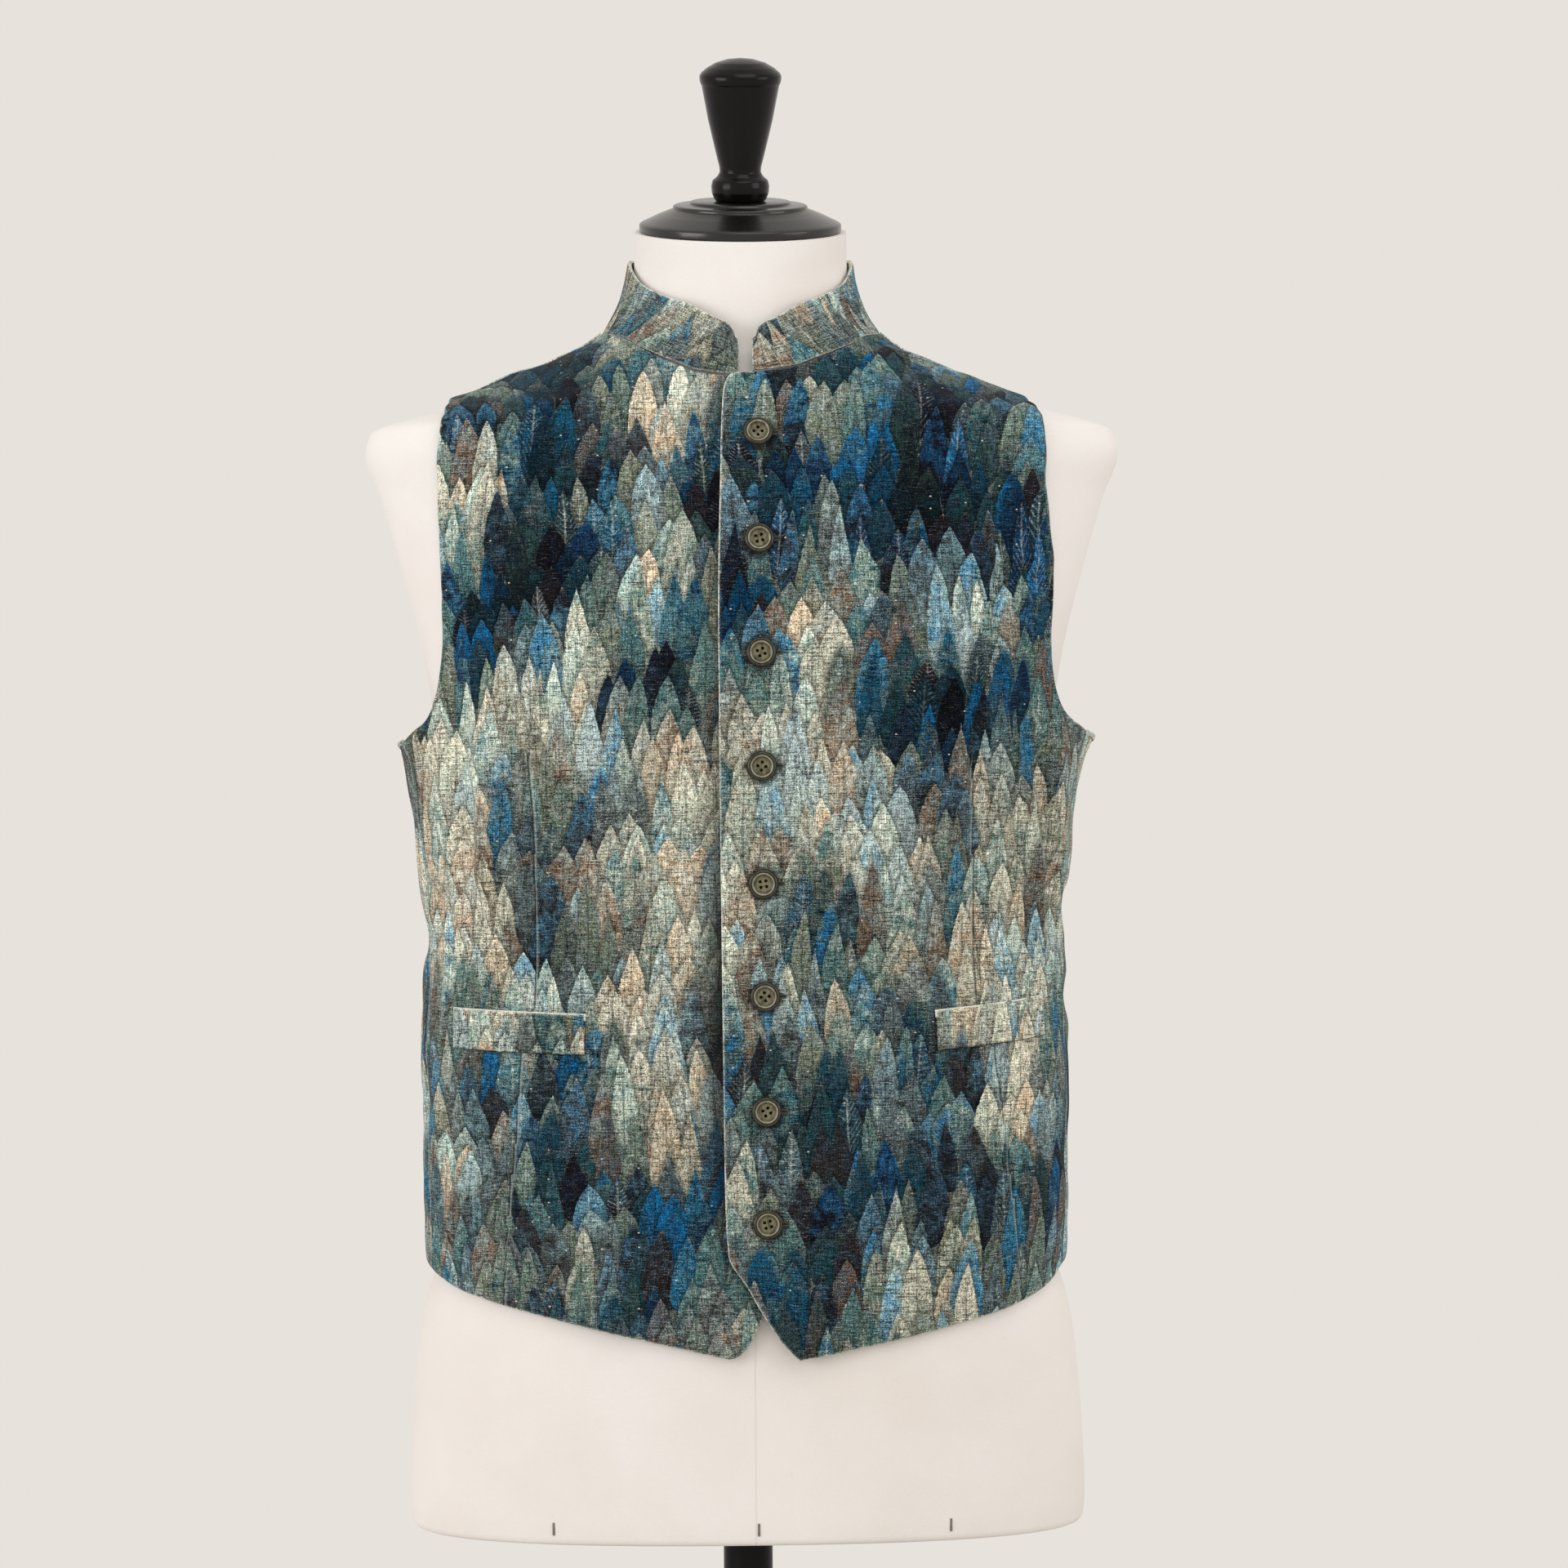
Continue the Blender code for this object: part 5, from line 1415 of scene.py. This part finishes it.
def build_stand(lacquer, ebonised, enamel):
    """Neck cap and finial on the tilted neck, the pole under the torso and its foot."""
    tilt = Matrix.Rotation(NECK_TILT, 4, "X")
    up_the_neck = tilt @ Vector((0.0, 0.0, 1.0))
    cap = Vector((0.0, 0.0, TORSO_LIFT + TORSO_TOP)) + up_the_neck * CONTACT_GAP
    finial = cap + up_the_neck * (NECK_CAP_PROFILE[0][1] + CONTACT_GAP)
    cap, finial = Matrix.Translation(cap) @ tilt, Matrix.Translation(finial) @ tilt
    turned("neck_cap", NECK_CAP_PROFILE, 128, lacquer, cap, "lacquer", "form_neck_cap")
    turned("finial", FINIAL_PROFILE, 96, ebonised, finial, "lacquer", "form_finial")
    low, high = (corner.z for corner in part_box("form_pole"))
    pole = (
        (0.0, high), (POLE_RADIUS - POLE_CHAMFER, high), (POLE_RADIUS, high - POLE_CHAMFER),
        (POLE_RADIUS, low + POLE_CHAMFER), (POLE_RADIUS - POLE_CHAMFER, low), (0.0, low),
    )
    turned("pole", pole, 64, enamel, Matrix.Identity(4), "metal", "form_pole")
    turned("foot", FOOT_PROFILE, 160, enamel, Matrix.Identity(4), "metal", "form_foot")


def build_pins(finish):
    """Three flat pins that hold the canvas at its lower edge."""
    height = np.array(PIN_HEIGHT)
    ring = torso_ring(height)
    half_width, squareness = float(ring[0]), float(ring[3])
    bm = bmesh.new()
    for x in PIN_PLACES:
        angle = math.degrees(math.asin((abs(x) / half_width) ** (squareness / 2)))
        y = float(ring_point(np.array(angle), height, ring)[1])
        made = bmesh.ops.create_cube(bm, size=1.0)["verts"]
        place = Matrix.Translation((x, y, TORSO_LIFT + PIN_HEIGHT))
        bmesh.ops.transform(bm, matrix=place @ Matrix.Diagonal((*PIN_SIZE, 1.0)), verts=made)
    bmesh.ops.bevel(
        bm, geom=bm.edges[:], offset=PIN_ROUNDING, segments=3, profile=0.5, affect="EDGES",
        material=-1,
    )
    return seat(link("canvas_pins", mesh_from(bm, "canvas_pins"), finish), "metal")


# ---------------------------------------------------------------- jacket
def tucked(points, height, hem):
    """Draws the lowest part of a panel in towards the form."""
    low = np.exp(-np.clip(height - hem, 0.0, None) / HEM_TUCK_REACH)
    inwards = points * np.array([1.0, 1.0, 0.0])
    inwards = inwards / np.linalg.norm(inwards, axis=-1, keepdims=True)
    return points - inwards * (HEM_TUCK * low)[..., None]


def front_wear_and_light(side, across, degrees, height):
    """How pale a front's edges are, worn and partly a painted highlight: most on the left one's
    buttoning edge, higher up.
    """
    inner = 1 - ease_between(*WEAR_AND_LIGHT_INNER, across)
    under_collar = ease_between(NECK_CORNER - WEAR_AND_LIGHT_COLLAR_REACH, NECK_CORNER, height)
    under_collar = under_collar * ease_between(0.6 * COLLAR_END, COLLAR_END, degrees)
    wear = EDGE_WEAR_AND_LIGHT * (1 - WEAR_AND_LIGHT_UNDER_COLLAR * inner * under_collar)
    if side > 0:
        high = WEAR_AND_LIGHT_LEFT_LOW + (1 - WEAR_AND_LIGHT_LEFT_LOW) * ease_between(*WEAR_AND_LIGHT_LEFT_CLIMB, height)
        wear = wear + (EDGE_WEAR_AND_LIGHT_LEFT_FRONT - EDGE_WEAR_AND_LIGHT) * inner * (1 - under_collar) * high
    return wear


def build_front(name, side, table, finish, cut_from):
    """One front: buttoning edge and neck on its inner side, side seam and armhole on its outer."""
    edge, seam, armhole = front_edge(table), side_seam(side, SIDE_SEAM), front_armhole(side)
    neck = neck_seam(float(edge[0][-1]), 90.0)
    bands = (
        (share_of(edge, 0.00, 0.12), share_of(seam, 0.00, 0.12), shares(18, fine_start=True)),
        (share_of(edge, 0.12, 0.68), share_of(seam, 0.12, 1.00), shares(130)),
        (share_of(edge, 0.68, 1.00), share_of(armhole, 0.00, 0.52), shares(64)),
        (neck, share_of(armhole, 0.52, 1.00), shares(70, fine_end=True)),
    )
    across = shares(96, True, True)
    degrees, height = patch(bands, across)
    grain = grain_of(degrees, height)
    share = np.clip(degrees / SIDE_SEAM, 0.0, 1.0)
    low = 1 - ease_between(HEM_SIDE, HEM_SIDE + HEM_BOW_REACH, height)
    height = height + hem_corner(degrees) * low
    height = height + HEM_BOW[side > 0] * 4 * share * (1 - share) * low
    points, normal = coat_points(degrees, height, side, lapped=side > 0)
    to_side = ease_between(*FRONT_TUCK, share)[..., None]
    points = tucked(points, height, HEM_SIDE) * to_side + points * (1 - to_side)
    piece = cloth_piece(
        name, points, normal, grain * (side, 1.0), cut_from, CLOTH, finish,
        dart=dart_places(points)[0] * side, wear=front_wear_and_light(side, across, degrees, height),
        shadow_painter=shadow_round_buttons if side > 0 else shadow_beside_lap,
    )
    return seat(piece, "velvet", name.removesuffix("_panel"))


def build_back(finish, cut_from):
    """The back, cut in one, from its +X edge round to its -X one."""
    height = np.linspace(HEM_BACK, BACK_NECK, CURVE_SAMPLES)
    centre = np.full(CURVE_SAMPLES, 180.0), height
    halves = []
    for side in (1, -1):
        seam, armhole = side_seam(side, SIDE_SEAM + SIDE_SEAM_GAP), back_armhole(side)
        bands = (
            (share_of(centre, 0.00, 0.50), share_of(seam, 0.00, 1.00),
             shares(110, fine_start=True)),
            (share_of(centre, 0.50, 0.57), share_of(armhole, 0.00, 0.18), shares(14)),
            (share_of(centre, 0.57, 1.00), share_of(armhole, 0.18, 0.74), shares(72)),
            (neck_seam(180.0, 90.0), share_of(armhole, 0.74, 1.00), shares(50, fine_end=True)),
        )
        degrees, height = patch(bands, shares(80, fine_end=True))
        low = 1 - ease_between(HEM_BACK, HEM_BACK + HEM_BOW_REACH, height)
        height = height + hem_corner(degrees) * low
        points, normal = coat_points(degrees, height, side)
        points = tucked(points, height, HEM_BACK)
        points[-1, :, 1] += SHOULDER_GAP
        halves.append((points, normal, grain_of(degrees, height, behind=True) * (side, 1.0)))
    columns = halves[0][0].shape[1]
    points, normal, grain = (
        np.concatenate([right[:, ::-1], left], axis=1) for left, right in zip(*halves)
    )
    piece = cloth_piece(
        "back_panel", points, normal, grain, cut_from, CLOTH, finish, paler=BACK_PALER
    )
    join_halves(piece.data, columns)
    return seat(piece, "velvet", "back")


def collar_rings(degrees):
    """The collar's lower and upper edge at these angles round the neck."""
    side = np.where(degrees > 180.0, -1.0, 1.0)
    folded = np.where(degrees > 180.0, 360.0 - degrees, degrees)
    height = read(NECK_SEAM, folded)
    lower, normal = coat_face(folded, height), coat_normal(folded, height)
    lap = np.where(side > 0, lap_height(lower[:, 0]), 0.0)
    lower = lower + normal * lap[:, None]
    lower[:, 2] += COLLAR_GAP - COLLAR_SEATING * np.sin(np.radians(folded)) ** 2
    half_width, front, back = COLLAR_TOP_RING
    upper = ring_point(folded, read(COLLAR_TOP, folded), (half_width, front, back, 2.0))
    straight_up = np.maximum(upper[:, 0], lower[np.argmin(folded), 0])
    upper[:, 0] = np.where(folded < COLLAR_FLAT_END, straight_up, upper[:, 0])
    lower[:, 0] *= side
    upper[:, 0] *= side
    return lower, upper


def build_collar(finish, cut_from):
    """The stand collar: one band from front edge to front edge, its upper corners rounded."""
    share = 2 * shares(260, True, True) - 1
    share = share + COLLAR_BUNCHING * np.sin(math.pi * share)
    bunched = 180.0 * share * (1 - COLLAR_END / 180.0)
    lower, upper = collar_rings(180.0 + bunched)
    run = running_length(upper)
    from_end = np.minimum(run, run[-1] - run)
    inside = np.clip(1 - from_end / COLLAR_CORNER, 0.0, 1.0)
    drop = COLLAR_CORNER * (1 - np.sqrt(1 - inside**2))
    tall = np.linalg.norm(upper - lower, axis=1)
    upper = lower + (upper - lower) * (1 - drop / tall)[:, None]
    up = shares(24, True, True)[:, None]
    points = lower * (1 - up[..., None]) + upper * up[..., None]
    normal = np.cross(np.gradient(points, axis=1), upper - lower)
    normal = normal / np.linalg.norm(normal, axis=-1, keepdims=True)
    outwards = points * np.array([1.0, 1.0, 0.0])
    normal = normal * np.sign(np.sum(normal * outwards, axis=-1, keepdims=True))
    hollow = COLLAR_HOLLOW + COLLAR_SIDE_HOLLOW * np.sin(np.radians(bunched)) ** 2
    curve_in = 4 * (up * (1 - up)) * hollow
    points = points + normal * (COLLAR_WAVES * wave_height(points) - curve_in)[..., None]
    along = 0.5 * (running_length(lower) + run)
    along = along - along[len(along) // 2]
    grain = np.stack(np.broadcast_arrays(along, up * tall + COLLAR_GRAIN), axis=-1)
    wear = EDGE_WEAR_AND_LIGHT_COLLAR * (WEAR_AND_LIGHT_COLLAR_FOOT + (1 - WEAR_AND_LIGHT_COLLAR_FOOT) * up)
    piece = cloth_piece(
        "collar_band", points, normal, grain, cut_from, COLLAR_CLOTH, finish, paler=COLLAR_PALER,
        wear=wear,
    )
    return seat(piece, "velvet", "collar")


def build_welt(name, side, inner, outer, inner_top, outer_top, finish, cut_from, flat):
    """A pocket's welt: a strip made from the front's own points, moved out on to it."""
    across = shares(64, True, True)[None, :]
    up = -WELT_HEIGHT + WELT_HEIGHT * shares(14, True, True)[:, None]
    degrees, height = np.broadcast_arrays(
        inner + (outer - inner) * across, inner_top + (outer_top - inner_top) * across + up
    )
    grain = grain_of(degrees, height) * (side, 1.0)
    points, normal = coat_points(degrees, height, side, out=WELT_CLOTH + WELT_SEAT)
    # its top is pale, worn and partly a painted highlight, broken in places into painted shade; the
    # rest is painted shade
    whole = np.ones_like(across)
    for place in WELT_BREAKS[side > 0]:
        broken = np.exp(-(((across - place) / WELT_BREAK_WIDTH) ** 2))
        whole = whole - WELT_BREAK_DEPTH * broken
    piece = cloth_piece(
        f"{name}_strip", points, normal, grain, cut_from, WELT_CLOTH, finish, paler=WELT_PALER,
        wear=np.where(up > -WELT_TOP * WELT_HEIGHT, EDGE_WEAR_AND_LIGHT_WELT * whole, WELT_SHADE),
    )
    return seat(piece, "velvet", name)


# ---------------------------------------------------------------- buttons and buttonholes
def button_mesh():
    """A four-hole button about its own axis: a dish inside a grooved rim, drilled through."""
    drills = bmesh.new()
    for quarter in range(4):
        turn = math.radians(45 + 90 * quarter)
        centre = Vector((math.cos(turn), math.sin(turn), 0.0)) * BUTTON_HOLE_PITCH
        bmesh.ops.create_cone(
            drills, cap_ends=True, segments=20, radius1=BUTTON_HOLE_RADIUS,
            radius2=BUTTON_HOLE_RADIUS, depth=BUTTON_DRILL, matrix=Matrix.Translation(centre),
        )
    blank, drill = (
        bpy.data.objects.new(name, mesh_from(bm, name))
        for name, bm in (("button_blank", spun(BUTTON_PROFILE, 72)), ("button_drill", drills))
    )
    for part in (blank, drill):
        bpy.context.scene.collection.objects.link(part)
    cut = blank.modifiers.new("holes", "BOOLEAN")
    cut.operation = "DIFFERENCE"
    cut.object = drill
    drilled = mesh_as_seen(blank)
    for part in (blank, drill):
        bpy.data.objects.remove(part, do_unlink=True)
    x, y, _ = np.array([vert.co for vert in drilled.vertices]).T
    hole = BUTTON_HOLE_PITCH * math.sqrt(0.5)
    to_hole = np.hypot(np.abs(x) - hole, np.abs(y) - hole) - BUTTON_HOLE_RADIUS
    set_values(drilled, "ring", 1000 * np.hypot(x, y))
    set_values(drilled, "to_hole", 1000 * to_hole)
    return drilled


def button_seat(height, x, out):
    """Where a button sits on the left front, and the way that the cloth faces there."""
    degrees = degrees_at(np.array([x]), np.array([height]))
    points, normal = coat_points(degrees, np.array([height]), 1, lapped=True, out=out)
    return Vector(points[0]) + Vector((0.0, 0.0, TORSO_LIFT)), Vector(normal[0])


def build_buttons(finish):
    """Eight buttons down the left front, each turned its own way on its thread."""
    shape = button_mesh()
    for number, (height, x, turn) in enumerate(BUTTONS, start=1):
        place, facing = button_seat(height, x, BUTTON_SEAT + BUTTON_DIMPLE)
        mesh = shape.copy()
        facing = facing.to_track_quat("Z", "Y").to_matrix().to_4x4()
        facing = facing @ Matrix.Rotation(math.radians(turn), 4, "Z")
        mesh.transform(Matrix.Translation(place) @ facing)
        piece = link(f"horn_button_{number}", mesh, finish)
        mesh.set_sharp_from_angle(angle=SHARP_EDGE)
        seat(piece, "horn", f"button_{number}")
    bpy.data.meshes.remove(shape)


def tube(points, radius, closed):
    """A round thread along a line of points, as a mesh."""
    curve = bpy.data.curves.new("thread", "CURVE")
    curve.dimensions = "3D"
    curve.bevel_depth = radius
    curve.bevel_resolution = 2
    curve.use_fill_caps = True
    line = curve.splines.new("POLY")
    line.points.add(len(points) - 1)
    for spot, point in zip(line.points, points):
        spot.co = (*point, 1.0)
    line.use_cyclic_u = closed
    holder = bpy.data.objects.new("thread", curve)
    bpy.context.scene.collection.objects.link(holder)
    mesh = mesh_as_seen(holder)
    bpy.data.objects.remove(holder, do_unlink=True)
    bpy.data.curves.remove(curve)
    return mesh


def joined(name, meshes, finish):
    """Several meshes as one piece."""
    bm = bmesh.new()
    for mesh in meshes:
        bm.from_mesh(mesh)
        bpy.data.meshes.remove(mesh)
    made = mesh_from(bm, name)
    made.materials.clear()
    return link(name, made, finish)


def build_buttonholes(stitch_finish, slit_finish):
    """A corded buttonhole behind each button: an oval of close stitches round a dark thread that
    paints the shadow in its slit.
    """
    ovals, slits = [], []
    turns = np.linspace(0.0, 2 * math.pi, 56, endpoint=False)
    squared = np.sign(np.sin(turns)) * np.abs(np.sin(turns)) ** BUTTONHOLE_SQUARENESS
    for height, x, _ in BUTTONS:
        across = x + BUTTONHOLE_SHIFT + 0.5 * BUTTONHOLE_LENGTH * np.cos(turns)
        up = height + BUTTONHOLE_HALF_HEIGHT * squared
        points, _ = coat_points(degrees_at(across, up), up, 1, lapped=True)
        ovals.append(tube(points + (0.0, 0.0, TORSO_LIFT), BUTTONHOLE_THREAD, closed=True))
        # a dark thread in each slit stands for the painted shadow inside it
        along = np.linspace(-SLIT_SHARE, SLIT_SHARE, 24)
        across = x + BUTTONHOLE_SHIFT + along * BUTTONHOLE_LENGTH
        up = np.full_like(across, height)
        points, _ = coat_points(degrees_at(across, up), up, 1, lapped=True, out=-SLIT_DEPTH)
        slits.append(tube(points + (0.0, 0.0, TORSO_LIFT), SLIT_RADIUS, closed=False))
    seat(joined("buttonhole_stitches", ovals, stitch_finish), "velvet")
    seat(joined("buttonhole_slits", slits, slit_finish), "velvet")


# ---------------------------------------------------------------- camera, light and floor
CAMERA_FAR, CAMERA_HEIGHT = 3.0, 0.745      # from the object's axis and above the floor
CAMERA_AROUND, CAMERA_ROLL = math.radians(2.0), math.radians(-0.35)
FRAME_WIDTH = 0.96                          # what the view takes in at the object's axis
SENSOR = 36.0
VIEW_SIZE, AXIS_COLUMN = 1920, 910.5        # pixels: the square view, the object's axis in it


def build_camera():
    """The camera, in front of the object and a little round to its -X side."""
    lens = bpy.data.cameras.new("camera")
    lens.sensor_width = SENSOR
    lens.lens = SENSOR * CAMERA_FAR / FRAME_WIDTH
    lens.shift_x = (VIEW_SIZE / 2 - AXIS_COLUMN) / VIEW_SIZE
    camera = bpy.data.objects.new("camera", lens)
    towards = Vector((math.sin(CAMERA_AROUND), math.cos(CAMERA_AROUND), 0.0))
    camera.location = Vector((0.0, 0.0, CAMERA_HEIGHT)) - towards * CAMERA_FAR
    turned_to = towards.to_track_quat("-Z", "Y") @ Quaternion((0, 0, 1), CAMERA_ROLL)
    camera.rotation_euler = turned_to.to_euler()
    bpy.context.scene.collection.objects.link(camera)
    bpy.context.scene.camera = camera


LIGHTS = (                  # name, place, size, watts, colour
    ("window_left", (-2.1, -1.3, 1.1), 1.3, 20.5, (0.995, 0.992, 1.0)),
    ("window_right", (2.1, -1.1, 1.5), 1.2, 10.5, (1.0, 0.98, 0.96)),
    ("overhead", (0.3, -1.0, 2.5), 1.2, 8.0, (1.0, 0.99, 0.97)),
)
AIM = Vector((0.0, 0.0, 0.72))
FLOOR_RADIUS = 1.6


def build_stage():
    """A plain pale floor, a pale surround and large soft lights."""
    for name, place, size, watts, colour in LIGHTS:
        light = bpy.data.lights.new(name, "AREA")
        light.size = size
        light.energy = watts
        light.color = colour
        lamp = bpy.data.objects.new(name, light)
        lamp.location = place
        lamp.rotation_euler = (AIM - Vector(place)).to_track_quat("-Z", "Y").to_euler()
        bpy.context.scene.collection.objects.link(lamp)
    surround = bpy.data.worlds.new("pale_surround")
    surround.use_nodes = True
    surround.node_tree.nodes["Background"].inputs["Color"].default_value = shade(231, 226, 220)
    bpy.context.scene.world = surround
    bm = bmesh.new()
    bmesh.ops.create_circle(bm, cap_ends=True, segments=96, radius=FLOOR_RADIUS)
    paint = Finish("floor_paint")
    cloudy = paint.noise(paint.place(), 300.0, 3.0, 0.5, "3D")
    colour = paint.mix(cloudy, shade(226, 222, 216), shade(218, 214, 208))
    painted = paint.finish({"Base Color": colour, "Roughness": 0.7})
    floor = link("floor", mesh_from(bm, "floor"), painted)
    bpy.context.scene.view_settings.view_transform = "Standard"


# ---------------------------------------------------------------- everything together
def main():
    """Builds the camera and the stage, then the form and the jacket on it."""
    build_camera()
    build_stage()
    build_torso(form_canvas())
    build_stand(
        black_lacquer("black_lacquer", 0.26, 0.06),
        black_lacquer("ebonised_wood", 0.22, 0.04, 0.16),
        black_lacquer("black_enamel", 0.34, 0.12, 0.12),
    )
    build_pins(steel())
    velvet = printed_velvet()
    build_front("front_left_panel", 1, LEFT_EDGE, velvet, (0.0, 0.0))
    build_front("front_right_panel", -1, RIGHT_EDGE, velvet, (0.013, 0.350))
    build_back(velvet, (0.777, 0.090))
    build_collar(velvet, (1.500, 0.040))
    for row in WELTS:
        build_welt(*row, velvet, (0.005, 0.009), (0.100, WELT_HEIGHT))
    build_buttons(horn())
    build_buttonholes(thread("dark_thread", (74, 78, 66)), thread("shadow_slit", (22, 22, 26)))


main()
